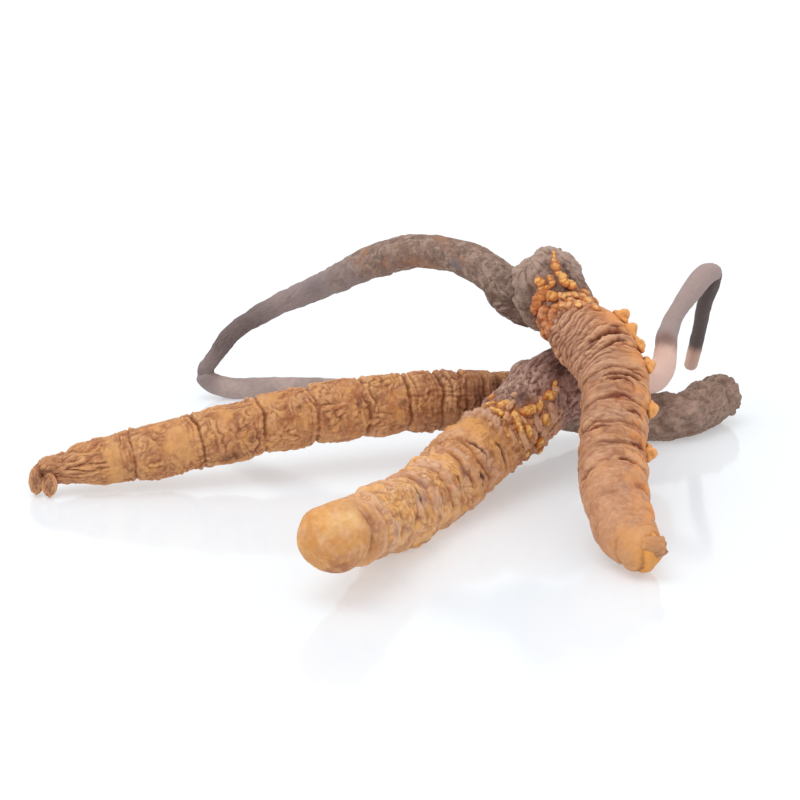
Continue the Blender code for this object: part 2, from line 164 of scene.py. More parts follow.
# Beads: distance, degrees round the body, half length, half width and turn away from the length
RIGHT_BEADS = [
    (41.6, 105, 0.40, 0.15, 169), (40.9, 107, 0.42, 0.25, 169), (40.0, 108, 0.46, 0.36, 165),
    (38.9, 107, 0.46, 0.38, 178), (38.3, 103, 0.48, 0.42, 15), (37.5, 105, 0.48, 0.40, 32),
    (37.1, 94, 0.55, 0.42, 18), (36.6, 89, 0.46, 0.36, 21), (36.5, 121, 0.70, 0.38, 49),
    (35.8, 91, 0.68, 0.38, 49), (34.3, 80, 0.56, 0.44, 160), (34.3, 103, 0.70, 0.38, 52),
    (32.3, 90, 0.50, 0.42, 164), (35.0, 129, 0.82, 0.44, 50), (35.6, 145, 0.40, 0.34, 54),
    (36.9, 137, 0.58, 0.46, 46), (37.5, 150, 0.56, 0.46, 110), (37.2, 162, 0.54, 0.40, 135),
    (37.0, 173, 0.46, 0.34, 131), (36.1, 170, 0.68, 0.46, 112), (35.1, 161, 0.56, 0.38, 133),
    (35.3, -177, 0.56, 0.42, 133), (34.6, -172, 0.56, 0.42, 90), (38.9, 140, 0.54, 0.42, 28),
    (38.2, 142, 0.34, 0.26, 153), (38.6, 122, 0.40, 0.30, 3), (38.0, 123, 0.42, 0.26, 149),
    (35.5, 77, 0.44, 0.34, 180), (35.2, 110, 0.36, 0.28, 69), (37.8, 133, 0.28, 0.24, 51),
    (33.6, 112, 0.40, 0.26, 80), (36.2, 106, 0.34, 0.28, 40), (36.4, -160, 0.55, 0.42, 80),
    (35.4, -148, 0.60, 0.42, 95), (36.3, 62, 0.52, 0.40, 100), (35.2, 45, 0.60, 0.42, 85),
]
MIDDLE_BEADS = [
    (37.7, 85, 0.74, 0.44, 169), (35.9, 93, 0.60, 0.46, 163), (36.4, 78, 0.48, 0.34, 74),
    (37.1, 49, 0.70, 0.50, 54), (39.1, 45, 0.95, 0.46, 168), (40.7, 39, 0.60, 0.36, 21),
    (41.1, 42, 0.34, 0.30, 145), (42.5, 38, 0.56, 0.42, 153), (43.9, 44, 0.46, 0.20, 29),
    (40.4, 15, 0.62, 0.48, 90), (37.6, 19, 0.62, 0.40, 69), (36.6, 34, 0.50, 0.32, 90),
    (34.7, 41, 0.50, 0.26, 71), (38.9, -16, 0.50, 0.36, 80), (37.4, -30, 0.54, 0.36, 95),
    (39.6, -44, 0.46, 0.34, 70), (37.6, 112, 0.50, 0.36, 100), (39.2, 128, 0.48, 0.34, 30),
]
# Tan folds of skin among the middle beads, given in the same way
MIDDLE_FLAPS = [
    (39.8, 82, 0.36, 0.32, 11), (38.2, 74, 0.70, 0.24, 12), (36.7, 64, 0.56, 0.28, 24),
    (37.8, 41, 0.52, 0.16, 90), (43.5, 38, 0.30, 0.24, 146), (41.5, 47, 0.28, 0.22, 144),
    (41.4, 8, 0.50, 0.40, 72), (39.2, 20, 0.70, 0.36, 78), (38.4, 6, 0.66, 0.36, 90),
    (36.4, 12, 0.80, 0.34, 100), (35.3, 26, 0.66, 0.30, 90), (39.8, -6, 0.56, 0.38, 85),
    (41.9, 24, 0.44, 0.30, 40),
]

# Gaps between the points of the grids, which keep each mesh under its limit
SKIN_SPACING = 0.105
RIGHT_SKIN_SPACING = 0.11
STALK_SPACING = 0.125


# Brings the noise to about -1 to 1
NOISE_GAIN = 1.7


def scramble(cells, seed):
    """A repeatable number from 0 to 1 for every whole-number cell."""
    mixed = cells[..., 0] * 374761393 + cells[..., 1] * 668265263 + cells[..., 2] * 1440662683
    mixed = (mixed + seed * 1013904223) & 0xFFFFFFFF
    mixed = ((mixed ^ (mixed >> 13)) * 1274126177) & 0xFFFFFFFF
    mixed = ((mixed ^ (mixed >> 15)) * 1103515245) & 0xFFFFFFFF
    return (mixed ^ (mixed >> 16)) / 0xFFFFFFFF


def spread(size):
    """Three sizes from one, from two (along the body and round it) or from three."""
    size = np.atleast_1d(np.asarray(size, dtype=float))
    return size if len(size) == 3 else np.array([size[0], size[-1], size[-1]])


def ripple(points, size, seed=0):
    """Smooth noise from about -1 to 1, with bumps about as wide as size along each axis."""
    places = points / spread(size)
    low = np.floor(places).astype(np.int64)
    inside = places - low
    blend = inside**3 * (inside * (inside * 6 - 15) + 10)
    total = np.zeros(points.shape[:-1])
    for corner in itertools.product((0, 1), repeat=3):
        cell = low + np.array(corner)
        weight = np.prod(np.where(np.array(corner) == 1, blend, 1 - blend), axis=-1)
        slope = np.stack([scramble(cell, seed * 3 + axis) * 2 - 1 for axis in range(3)], axis=-1)
        total += weight * ((inside - np.array(corner)) * slope).sum(axis=-1)
    return total * NOISE_GAIN


def layered(points, size, seed=0, layers=3):
    """Noise with finer and fainter noise on top of it."""
    size = spread(size)
    return sum(ripple(points, size / 2**k, seed + 17 * k) / 2**k for k in range(layers))


def bent(points, size, amount, seed=0):
    """The points pushed about a little, so that what is drawn on them winds."""
    shift = np.stack([ripple(points, size, seed + axis) for axis in range(3)], axis=-1)
    return points + shift * amount


def grains(points, size, seed=0):
    """Distances to the nearest and the next nearest of scattered points, in units of size."""
    places = points / spread(size)
    low = np.floor(places).astype(np.int64)
    nearest = np.full(points.shape[:-1], 9.0)
    second = nearest.copy()
    for offset in itertools.product((-1, 0, 1), repeat=3):
        cell = low + np.array(offset)
        spot = cell + np.stack([scramble(cell, seed * 3 + axis) for axis in range(3)], axis=-1)
        gap = ((spot - places) ** 2).sum(axis=-1)
        second = np.minimum(second, np.maximum(nearest, gap))
        nearest = np.minimum(nearest, gap)
    return np.sqrt(nearest), np.sqrt(second)


def ramp(value, low, high):
    """0 up to low, 1 from high on, and a smooth climb between them."""
    share = np.clip((value - low) / (high - low), 0.0, 1.0)
    return share * share * (3 - 2 * share)


def bell(value, centre, reach):
    """1 where the value is at the centre, fading to 0 on both sides of it."""
    return np.exp(-(((value - centre) / reach) ** 2))


def crest(value, before, after):
    """1 where the value is 0, fading away before it and after it over those lengths."""
    return np.where(value < 0, np.exp(value / before), np.exp(-value / after))


def turned(degrees, centre):
    """Degrees away from the centre the short way round, from -180 to 180."""
    return (degrees - centre + 180.0) % 360.0 - 180.0


class Centreline:
    """A smooth curve with a radius and a frame that doesn't twist along it."""

    STEP = 0.05

    def __init__(self, points):
        self.runs, samples = self.smooth(np.array(points, dtype=float))
        self.length = self.runs[-1]
        self.radii = samples[:, 3]
        self.centres = samples[:, :3]
        ahead = np.gradient(self.centres, axis=0)
        self.tangents = ahead / np.linalg.norm(ahead, axis=1)[:, None]
        self.ups = np.zeros_like(self.centres)
        up = np.array([0.0, 0.0, 1.0])
        for index, tangent in enumerate(self.tangents):
            up = up - tangent * np.dot(up, tangent)
            up = up / np.linalg.norm(up)
            self.ups[index] = up

    def smooth(self, knots):
        """Even samples of one smooth curve through the points, radius included."""
        spans = np.linalg.norm(np.diff(knots[:, :3], axis=0), axis=1)
        slopes = np.diff(knots, axis=0) / spans[:, None]
        before = spans[:-1, None]
        after = spans[1:, None]
        inner = (slopes[:-1] * after + slopes[1:] * before) / (before + after)
        tangents = np.vstack([slopes[:1], inner, slopes[-1:]])
        pieces = []
        for index, span in enumerate(spans):
            t = np.linspace(0.0, 1.0, max(4, int(span / self.STEP)), endpoint=False)[:, None]
            pieces.append(
                (2 * t**3 - 3 * t**2 + 1) * knots[index]
                + (t**3 - 2 * t**2 + t) * span * tangents[index]
                + (3 * t**2 - 2 * t**3) * knots[index + 1]
                + (t**3 - t**2) * span * tangents[index + 1]
            )
        samples = np.vstack(pieces + [knots[-1:]])
        steps = np.linalg.norm(np.diff(samples[:, :3], axis=0), axis=1)
        runs = np.concatenate([[0.0], np.cumsum(steps)])
        even = np.linspace(0.0, runs[-1], int(runs[-1] / self.STEP) + 1)
        return even, np.stack([np.interp(even, runs, samples[:, axis]) for axis in range(4)], axis=1)

    def at(self, runs):
        """Centres, radii, tangents, sides and ups at distances along the line."""
        runs = np.atleast_1d(np.asarray(runs, dtype=float))

        def along(values):
            """The values, three to a row, at those distances."""
            return np.stack([np.interp(runs, self.runs, values[:, axis]) for axis in range(3)], axis=1)

        tangents = along(self.tangents)
        tangents /= np.linalg.norm(tangents, axis=1)[:, None]
        ups = along(self.ups)
        ups /= np.linalg.norm(ups, axis=1)[:, None]
        radii = np.interp(runs, self.runs, self.radii)
        return along(self.centres), radii, tangents, np.cross(tangents, ups), ups


def blurred(values, cells):
    """The values smoothed over a few cells each way; the second axis closes on itself."""
    reach = max(1, int(2.5 * cells))
    weights = np.exp(-0.5 * (np.arange(-reach, reach + 1) / cells) ** 2)
    weights /= weights.sum()
    rows, columns = values.shape
    padded = np.pad(values, ((reach, reach), (0, 0)), mode="edge")
    values = sum(weight * padded[k : k + rows] for k, weight in enumerate(weights))
    padded = np.pad(values, ((0, 0), (reach, reach)), mode="wrap")
    return sum(weight * padded[:, k : k + columns] for k, weight in enumerate(weights))


class Shell:
    """Points, faces, masks and unrolled places of a closed surface."""

    def __init__(self, points, quads, triangles, masks, unrolled):
        self.points = points
        self.quads = quads
        self.triangles = triangles
        self.masks = masks
        self.unrolled = unrolled


class Skin:
    """A fine grid of points wrapped round a stretch of a centreline, to be raised and lowered."""

    def __init__(self, line, start, end, spacing, dome_start=0.0, dome_end=0.0):
        self.line = line
        self.spacing = spacing
        rows = self.rows(start, end, spacing, dome_start, dome_end)
        self.row_runs, self.shares, self.leans = rows
        self.frames = line.at(self.row_runs)
        radii = self.frames[1]
        self.sides = int(2 * math.pi * radii.max() / spacing)
        angles = np.arange(self.sides) * 2 * math.pi / self.sides
        self.angle = np.broadcast_to(angles, (len(self.row_runs), self.sides))
        self.run = np.broadcast_to(self.row_runs[:, None], self.angle.shape)
        self.degrees = np.degrees(self.angle)
        self.radius = np.broadcast_to(radii[:, None], self.angle.shape)
        width = (radii * self.shares)[:, None]
        self.unrolled = np.stack(
            [self.run * 1.0, width * np.cos(self.angle), width * np.sin(self.angle)], axis=-1
        )
        self.height = np.zeros(self.angle.shape)
        self.slide = np.zeros(self.angle.shape)
        self.masks = {}

    @staticmethod
    def rows(start, end, spacing, dome_start, dome_end):
        """Ring places, with how much of the radius is left there and how far the skin faces along."""
        pieces = []
        if dome_start:
            turn = np.linspace(0.0, math.pi / 2, int(dome_start * 1.6 / spacing) + 3)[1:-1]
            pieces.append((start + dome_start * (1 - np.cos(turn)), np.sin(turn), -np.cos(turn)))
        straight = np.arange(start + dome_start, end - dome_end, spacing)
        pieces.append((straight, np.ones_like(straight), np.zeros_like(straight)))
        if dome_end:
            turn = np.linspace(math.pi / 2, 0.0, int(dome_end * 1.6 / spacing) + 3)[1:-1]
            pieces.append((end - dome_end * (1 - np.cos(turn)), np.sin(turn), np.cos(turn)))
        return [np.concatenate(parts) for parts in zip(*pieces)]

    def mask(self, name, value):
        """Adds to a mask, keeping the larger value where it already has one."""
        value = np.clip(value, 0.0, 1.0)
        old = self.masks.get(name)
        self.masks[name] = value if old is None else np.maximum(old, value)

    def blot(self, name, size, seed, low, high, where=1.0):
        """Adds cloudy spots to a mask, as large and as many as the noise between low and high."""
        self.mask(name, ramp(layered(self.unrolled, size, seed), low, high) * where)

    def spots(self, name, places, strength=1.0):
        """Adds oval spots to a mask: distance, degrees round the body, half length, half width."""
        for place in places:
            self.mask(name, self.patch(*place) * strength)

    def past(self, low, high, wander=0.0):
        """0 before a stretch of the length, 1 after it, and a smooth climb between them."""
        return ramp(self.run + wander, low, high)

    def broken(self, level, depth, size, seed):
        """A level that noise raises and lowers from place to place."""
        return level + depth * ripple(self.unrolled, size, seed)

    def facing(self, degrees, reach, power=2):
        """1 on the side at these degrees, fading to 0 both ways round the body."""
        return np.exp(-((turned(self.degrees, degrees) / reach) ** power))

    def patch(self, run, degrees, length, reach):
        """1 in the middle of an oval spot and 0 outside it, its half sizes in millimetres."""
        along = (self.run - run) / length
        across = np.radians(turned(self.degrees, degrees)) * self.radius / reach
        return np.exp(-(along**2 + across**2))

    def shade(self, reach, depth, strength=1.0):
        """Paints shade on what lies lower than its surroundings, and a highlight on what stands up."""
        swing = (self.height - blurred(self.height, reach / self.spacing)) / depth
        self.mask("crease", strength * ramp(-swing, 0.1, 1.0))
        self.mask("ridge", strength * ramp(swing, 0.1, 1.0))

    def shell(self):
        """The grid as a closed surface, with a point at each end of it."""
        centres, radii, tangents, sides, ups = (part[:, None] for part in self.frames)
        outward = sides * np.cos(self.angle)[..., None] + ups * np.sin(self.angle)[..., None]
        normal = outward * self.shares[:, None, None] + tangents * self.leans[:, None, None]
        points = centres + outward * (radii * self.shares[:, None])[..., None]
        points = points + normal * self.height[..., None] + tangents * self.slide[..., None]
        ring_count = len(self.row_runs)
        corner = np.arange(ring_count * self.sides).reshape(ring_count, self.sides)
        after = np.roll(corner, -1, axis=1)
        quads = np.stack([corner[:-1], corner[1:], after[1:], after[:-1]], axis=-1).reshape(-1, 4)
        first = np.full(self.sides, ring_count * self.sides)
        triangles = np.concatenate(
            [
                np.stack([first, corner[0], after[0]], axis=-1),
                np.stack([first + 1, after[-1], corner[-1]], axis=-1),
            ]
        )
        masks = {
            name: np.concatenate([value.reshape(-1), [value[0].mean(), value[-1].mean()]])
            for name, value in self.masks.items()
        }
        return Shell(self.capped(points), quads, triangles, masks, self.capped(self.unrolled))

    @staticmethod
    def capped(grid):
        """The grid's rows in one list, then the middle of its first ring and of its last."""
        return np.vstack([grid.reshape(-1, 3), grid[0].mean(axis=0), grid[-1].mean(axis=0)])

    def place(self, run, degrees, height):
        """A point on the raised skin, with the directions along, across and out of it there."""
        row = int(np.argmin(np.abs(self.row_runs - run)))
        column = int(round((degrees % 360.0) / 360.0 * self.sides)) % self.sides
        centre, radius, tangent, side, up = (part[0] for part in self.line.at(run))
        angle = math.radians(degrees)
        out = side * math.cos(angle) + up * math.sin(angle)
        normal = out * self.shares[row] + tangent * self.leans[row]
        point = centre + out * radius * self.shares[row]
        point = point + normal * (self.height[row, column] + height)
        across = np.cross(normal, tangent)
        across /= np.linalg.norm(across)
        return point, np.cross(across, normal), across, normal


def winding(skin, broad, fine):
    """How far the rings wander along the body: a broad and a fine one, each depth, size and seed."""
    return sum(depth * ripple(skin.unrolled, size, seed) for depth, size, seed in (broad, fine))


def add_rings(skin, rings, wobble, seed, strong=1.0, pleats=0.0):
    """Cuts broken grooves round the body, each with a lip after it and fine pleats before it."""
    run = skin.run + wobble
    for index, (place, depth, width, lip) in enumerate(rings):
        strength = np.clip(0.8 + 1.3 * ripple(skin.unrolled, 2.6, seed + index), 0.05, 1.4) * strong
        gap = run - place + 0.10 * ripple(skin.unrolled, 1.5, seed + 50 + index)
        cut = np.exp(-((gap / width) ** 2))
        rise = crest(gap, 0.3, 1.0)
        skin.height -= depth * strength * cut
        skin.height += lip * rise * (1 - cut) * np.clip(strength, 0.4, 1)
        near = bell(gap, -0.8, 0.55) * np.clip(strength, 0, 1) * (depth > 0.2)
        wave = np.cos(2 * math.pi * gap / 0.42)
        skin.height += pleats * wave * near
        # Painted shade in the valleys of the pleats
        skin.mask("crease", 8 * pleats * near * ramp(-wave, 0.2, 1.0))
        skin.mask("lip", bell(gap, 0.8, 0.5) * np.clip(strength, 0, 1) * (depth > 0.2))


def add_swells(skin, places, wobble, rise, below=0.0):
    """Lets the body swell a little between its ring grooves, and more so underneath if asked."""
    run = skin.run + wobble
    under = skin.facing(290, 60)
    for start, end in zip(places[:-1], places[1:]):
        share = np.clip((run - start) / (end - start), 0, 1)
        skin.height += (rise + below * under) * np.sin(math.pi * share) ** 0.7


def add_gashes(skin, gashes, seed):
    """Opens short deep folds across the body, their lips torn and uneven."""
    for index, (run, degrees, half, width, depth) in enumerate(gashes):
        across = turned(skin.degrees, degrees) / half
        sway = 0.3 * ripple(skin.unrolled, 1.6, seed + index) + 0.15 * across**2
        sway += 0.16 * ripple(skin.unrolled, 0.5, seed + 30 + index)
        inside = np.clip(1 - across**2, 0, 1) ** 0.7
        gap = (skin.run + sway - run) / (width * (0.4 + 0.6 * inside))
        cut = np.exp(-(gap**2)) * inside
        skin.height -= depth * cut
        skin.height += 0.25 * depth * np.exp(-((np.abs(gap) - 1.9) ** 2)) * inside
        # Painted shade inside the fold
        skin.mask("gash", cut * 1.2)
        skin.mask("torn", np.exp(-((gap / 3.2) ** 2)) * inside)


def add_billows(skin, *layers):
    """Layers of rounded swellings with narrow valleys between them, one on top of another.

    Each has a size (along the body and round it), a depth and a seed, and may have where it is, how
    much its valleys wind, how sharp its tops are and how strongly painted shade darkens its valleys.
    """
    for layer in layers:
        add_billow_layer(skin, *layer)


def add_billow_layer(skin, size, depth, seed, where=1.0, sway=0.6, sharp=1.0, lines=0.0):
    """One layer of add_billows."""
    size = spread(size)
    points = bent(skin.unrolled, size * 1.7, size.min() * sway, seed + 40)
    points = bent(points, size * 0.6, size.min() * sway * 0.4, seed + 80)
    level = np.abs(ripple(points, size, seed))
    skin.height += depth * (level**sharp - 0.3) * where
    # Painted shade along the valleys
    if lines:
        faded = ramp(ripple(skin.unrolled, 2.4, seed + 120), -0.5, 0.4)
        skin.mask("crease", lines * where * faded * (1 - ramp(level, 0.02, 0.18)))


def add_wrinkles(skin, spacing, depth, seed, where, lines):
    """Wrinkles running round the body side by side, with painted shade in their valleys here and there.
    """
    wander = winding(skin, (0.7, (3.0, 1.8), seed), (0.25, 1.0, seed + 1))
    wave = np.abs(np.sin(math.pi * (skin.run + wander) / spacing))
    skin.height += depth * (wave**0.8 - 0.6) * where
    faded = ramp(ripple(skin.unrolled, (1.6, 1.2), seed + 2), -0.6, 0.2)
    skin.mask("crease", lines * where * faded * (1 - ramp(wave, 0.05, 0.4)))


def add_grains(skin, size, depth, seed, where=1.0):
    """A crust of small rounded grains."""
    nearest, second = grains(bent(skin.unrolled, size * 1.5, size * 0.3, seed), size, seed)
    skin.height += depth * (ramp(second - nearest, 0.0, 0.5) - 0.6) * where


SPHERES = {}


def sphere(level):
    """Points and triangles of a ball of radius 1, made once for each level of detail."""
    if level not in SPHERES:
        bm = bmesh.new()
        bmesh.ops.create_icosphere(bm, subdivisions=level, radius=1.0)
        points = np.array([vertex.co[:] for vertex in bm.verts])
        triangles = np.array([[vertex.index for vertex in face.verts] for face in bm.faces])
        bm.free()
        SPHERES[level] = (points, triangles)
    return SPHERES[level]


def blob(centre, axes, size, masks, seed, level=3, rough=0.15, grain=0.45, taper=0.0, foot=None):
    """An uneven egg-shaped lump with half sizes along three axes; painted shade at its foot, highlight on
    top.
    """
    ball, triangles = sphere(level)
    bumps = 1 + rough * layered(ball * max(size) + centre, grain, seed, 2)
    scaled = ball * bumps[:, None] * np.array(size)
    scaled[:, 1:] *= 1 - taper * ball[:, :1]
    points = centre + scaled @ np.array(axes)
    values = {name: np.full(len(points), float(value)) for name, value in masks.items()}
    # Painted shade in the hollows and towards the foot, and a painted highlight on top
    hollow = 1 - ramp(bumps, 1 - rough * 0.5, 1 + rough * 0.1)
    up = np.array(axes[2] if foot is None else foot)
    rise = (points - centre) @ up / np.abs((points - centre) @ up).max()
    values["crease"] = np.maximum(hollow * 0.4, 0.9 * (1 - ramp(rise, -0.35, 0.2)))
    values["ridge"] = 0.6 * ramp(rise, 0.5, 1.0)
    return Shell(points, np.zeros((0, 4), int), triangles, values, scaled + centre)


def tube(points, radii, masks, sides=4):
    """A thin closed tube through a few points, for a fibre."""
    points = np.asarray(points, dtype=float)
    ahead = np.gradient(points, axis=0)
    ahead /= np.linalg.norm(ahead, axis=1)[:, None]
    side = np.cross(ahead, [0.37, 0.61, 0.70])
    side /= np.linalg.norm(side, axis=1)[:, None]
    up = np.cross(side, ahead)
    angles = np.arange(sides) * 2 * math.pi / sides
    ring = (
        points[:, None]
        + np.asarray(radii)[:, None, None]
        * (side[:, None] * np.cos(angles)[:, None] + up[:, None] * np.sin(angles)[:, None])
    )
    count = len(points)
    corner = np.arange(count * sides).reshape(count, sides)
    after = np.roll(corner, -1, axis=1)
    quads = np.stack([corner[:-1], after[:-1], after[1:], corner[1:]], axis=-1).reshape(-1, 4)
    caps = [[corner[0, 0], corner[0, k + 1], corner[0, k]] for k in range(1, sides - 1)]
    caps += [[corner[-1, 0], corner[-1, k], corner[-1, k + 1]] for k in range(1, sides - 1)]
    values = {name: np.full(count * sides, float(value)) for name, value in masks.items()}
    ring = ring.reshape(-1, 3)
    return Shell(ring, quads, np.array(caps), values, ring)


def fibres(skin, count, seed, runs, turns, lean, length=1.4, masks=None, loose=0.10):
    """Fine pale hairs lying on a crust, each with its free end a little off it."""
    random = np.random.default_rng(seed)
    steps = np.linspace(0.0, 1.0, 7)
    shells = []
    for _ in range(count):
        run = random.uniform(*runs)
        degrees = random.uniform(*turns)
        heading = math.radians(random.normal(lean, 32.0))
        reach = length * random.uniform(0.5, 1.1)
        curl = random.uniform(-0.9, 0.9)
        points = []
        for step in steps:
            ahead = run + reach * step * math.cos(heading + curl * step)
            radius = np.interp(run, skin.line.runs, skin.line.radii)
            aside = degrees + math.degrees(reach * step * math.sin(heading + curl * step) / radius)
            points.append(skin.place(ahead, aside, loose * step**2)[0])
        points = np.array(points)
        points[1:-1] = (points[:-2] + 2 * points[1:-1] + points[2:]) / 4
        thickness = random.uniform(0.016, 0.03)
        shells.append(tube(points, thickness * (1 - 0.6 * steps), masks or {"hair": 1.0}))
    return shells


def joined(shells):
    """Several shells as one, with every mask on every point."""
    names = sorted({name for shell in shells for name in shell.masks})
    quads = []
    triangles = []
    offset = 0
    for shell in shells:
        quads.append(shell.quads + offset)
        triangles.append(shell.triangles + offset)
        offset += len(shell.points)
    masks = {
        name: np.concatenate([shell.masks.get(name, np.zeros(len(shell.points))) for shell in shells])
        for name in names
    }
    points = np.concatenate([shell.points for shell in shells])
    unrolled = np.concatenate([shell.unrolled for shell in shells])
    return Shell(points, np.concatenate(quads), np.concatenate(triangles), masks, unrolled)


def placed(name, data):
    """A new object of the scene."""
    thing = bpy.data.objects.new(name, data)
    bpy.context.scene.collection.objects.link(thing)
    return thing


def add_piece(name, node, shells, look):
    """Makes the mesh, in metres and inside the box of the solids, and puts it in the node's place."""
    shell = joined(shells)
    points = (shell.points - BUNDLE_CENTRE) * METRES_PER_MM
    points = np.clip(points, np.array(CAD_BOX[0]), np.array(CAD_BOX[1]))
    mesh = bpy.data.meshes.new(name)
    mesh.from_pydata(points.tolist(), [], shell.quads.tolist() + shell.triangles.tolist())
    mesh.shade_smooth()
    for mask, values in shell.masks.items():
        layer = mesh.attributes.new(mask, "FLOAT", "POINT")
        layer.data.foreach_set("value", values.astype(np.float32))
    layer = mesh.attributes.new("unrolled", "FLOAT_VECTOR", "POINT")
    layer.data.foreach_set("vector", shell.unrolled.astype(np.float32).reshape(-1))
    mesh.materials.append(look)
    piece = placed(name, mesh)
    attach(piece, "root")
    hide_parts(node)


def linear(red, green, blue):
    """A colour seen on screen, from 0 to 255, as the shader wants it."""
    shares = [value / 255 for value in (red, green, blue)]
    return [s / 12.92 if s <= 0.04045 else ((s + 0.055) / 1.055) ** 2.4 for s in shares] + [1.0]


# How light spreads inside the skin for red, green and blue, and how deep it goes
SOFT_SPREAD = (1.0, 0.5, 0.25)
SOFT_DEPTH = 0.5
SHEEN = 0.35


class Look:
    """A material being put together: layers of colour, roughness and fine bumps."""

    def __init__(self, name):
        self.material = bpy.data.materials.new(name)
        self.material.use_nodes = True
        self.tree = self.material.node_tree
        self.shader = self.tree.nodes["Principled BSDF"]
        self.place = self.tree.nodes.new("ShaderNodeTexCoord").outputs["Object"]
        self.unrolled = self.put("ShaderNodeAttribute", attribute_name="unrolled").outputs["Vector"]

    def put(self, kind, *inputs, **settings):
        """Adds a node, sets what it is told, and links or fills its inputs."""
        node = self.tree.nodes.new(kind)
        for key, value in settings.items():
            setattr(node, key, value)
        for socket, value in inputs:
            if isinstance(value, bpy.types.NodeSocket):
                self.tree.links.new(value, node.inputs[socket])
            else:
                node.inputs[socket].default_value = value
        return node

    def noise(self, size, detail=3.0, roughness=0.55):
        """Noise whose bumps are about size millimetres wide."""
        scale = 1 / (size * METRES_PER_MM)
        inputs = (("Vector", self.place), ("Scale", scale), ("Detail", detail), ("Roughness", roughness))
        return self.put("ShaderNodeTexNoise", *inputs).outputs["Fac"]

    def streaks(self, along, around):
        """Noise stretched along or round the body, its bumps given in millimetres."""
        spread = (1 / along, 1 / around, 1 / around)
        place = self.put("ShaderNodeVectorMath", (0, self.unrolled), (1, spread), operation="MULTIPLY")
        inputs = (("Vector", place.outputs[0]), ("Scale", 1.0), ("Detail", 3.0), ("Distortion", 0.4))
        return self.put("ShaderNodeTexNoise", *inputs).outputs["Fac"]

    def mask(self, name):
        """A mask of the mesh, as a number from 0 to 1."""
        return self.put("ShaderNodeAttribute", attribute_name=name).outputs["Fac"]

    def math(self, operation, first, second):
        """Two numbers added or multiplied, and kept between 0 and 1."""
        inputs = ((0, first), (1, second))
        return self.put("ShaderNodeMath", *inputs, operation=operation, use_clamp=True).outputs[0]

    def span(self, value, low, high, to_low=0.0, to_high=1.0):
        """The value stretched from one range to another, and kept inside it."""
        source = (("Value", value), ("From Min", low), ("From Max", high))
        target = (("To Min", to_low), ("To Max", to_high))
        return self.put("ShaderNodeMapRange", *source, *target).outputs["Result"]

    def mix(self, share, under, over):
        """Two colours mixed by a share."""
        node = self.put("ShaderNodeMix", data_type="RGBA")
        for socket, value in ((node.inputs[0], share), (node.inputs[6], under), (node.inputs[7], over)):
            if isinstance(value, bpy.types.NodeSocket):
                self.tree.links.new(value, socket)
            else:
                socket.default_value = value
        return node.outputs[2]

    def tint(self, colour, mask, tint, strength=1.0, broken=0.0):
        """Lays a colour over another where the mask is, broken up by noise where asked."""
        share = self.mask(mask)
        if broken:
            speckle = self.span(self.noise(0.5), 0.35, 0.65, 1 - broken, 1 + broken)
            share = self.math("MULTIPLY", share, speckle)
        return self.mix(self.math("MULTIPLY", share, strength), colour, linear(*tint))

    def finish(self, colour, roughness, relief, bump_depth, softness):
        """Links colour, roughness and bumps to the shader."""
        self.tree.links.new(colour, self.shader.inputs["Base Color"])
        uneven = self.span(self.noise(0.5), 0.3, 0.7, roughness - 0.1, roughness + 0.1)
        self.tree.links.new(uneven, self.shader.inputs["Roughness"])
        depth = ("Distance", bump_depth * METRES_PER_MM)
        bumps = self.put("ShaderNodeBump", ("Strength", 1.0), depth, ("Height", relief))
        self.tree.links.new(bumps.outputs["Normal"], self.shader.inputs["Normal"])
        self.shader.inputs["Subsurface Weight"].default_value = softness
        self.shader.inputs["Subsurface Radius"].default_value = SOFT_SPREAD
        self.shader.inputs["Subsurface Scale"].default_value = SOFT_DEPTH * METRES_PER_MM
        self.shader.inputs["Specular IOR Level"].default_value = SHEEN
        return self.material


def toned(look, tones, broad, fine, fine_share, dark_lines):
    """Three tones: dark and middle in broad patches, light in fine ones, and dark in the lines."""
    dark, middle, light = (linear(*tone) for tone in tones)
    colour = look.mix(broad, dark, middle)
    colour = look.mix(look.math("MULTIPLY", fine, fine_share), colour, light)
    return look.mix(dark_lines, colour, dark)


def larva_look(name, tones, tints, grooves=0.3):
    """Dried skin: mottled tones, with each mask's colour laid over them in turn."""
    look = Look(name)
    broad = look.span(look.noise(1.7, 3.0), 0.34, 0.66)
    fine = look.span(look.noise(0.42, 4.0), 0.36, 0.7)
    speckle = look.span(look.noise(0.2, 4.0, 0.7), 0.56, 0.72)
    lines = look.streaks(0.22, 1.8)
    dark_lines = look.math("MULTIPLY", look.span(lines, 0.56, 0.7), grooves)
    colour = toned(look, tones, broad, fine, 0.5, dark_lines)
    colour = look.mix(look.math("MULTIPLY", speckle, 0.35), colour, linear(*SPECKLE))
    for tint in tints:
        colour = look.tint(colour, *tint)
    relief = look.mix(0.45, look.noise(0.16, 4.0, 0.65), lines)
    return look.finish(colour, 0.6, relief, 0.07, 0.12)


def crust_look(name, tones, tints):
    """Dried fungus: dull fuzzy tones with fine lengthwise streaks."""
    look = Look(name)
    broad = look.span(look.noise(1.1, 3.0), 0.36, 0.64)
    fine = look.span(look.noise(0.26, 4.0, 0.65), 0.42, 0.7)
    lines = look.streaks(1.1, 0.22)
    dark_lines = look.math("MULTIPLY", look.span(lines, 0.54, 0.7), 0.4)
    colour = toned(look, tones, broad, fine, 0.55, dark_lines)
    for tint in tints:
        colour = look.tint(colour, *tint)
    relief = look.mix(0.4, look.noise(0.12, 4.0, 0.7), lines)
    return look.finish(colour, 0.85, relief, 0.06, 0.05)


LEFT = Centreline(LEFT_LINE)
MIDDLE = Centreline(MIDDLE_LINE)
MIDDLE_FOLD = Centreline(MIDDLE_FOLDED_LINE)
RIGHT = Centreline(RIGHT_LINE)
RIGHT_STALK = Centreline(RIGHT_STALK_LINE)
RIGHT_FOLD = Centreline(RIGHT_FOLDED_LINE)

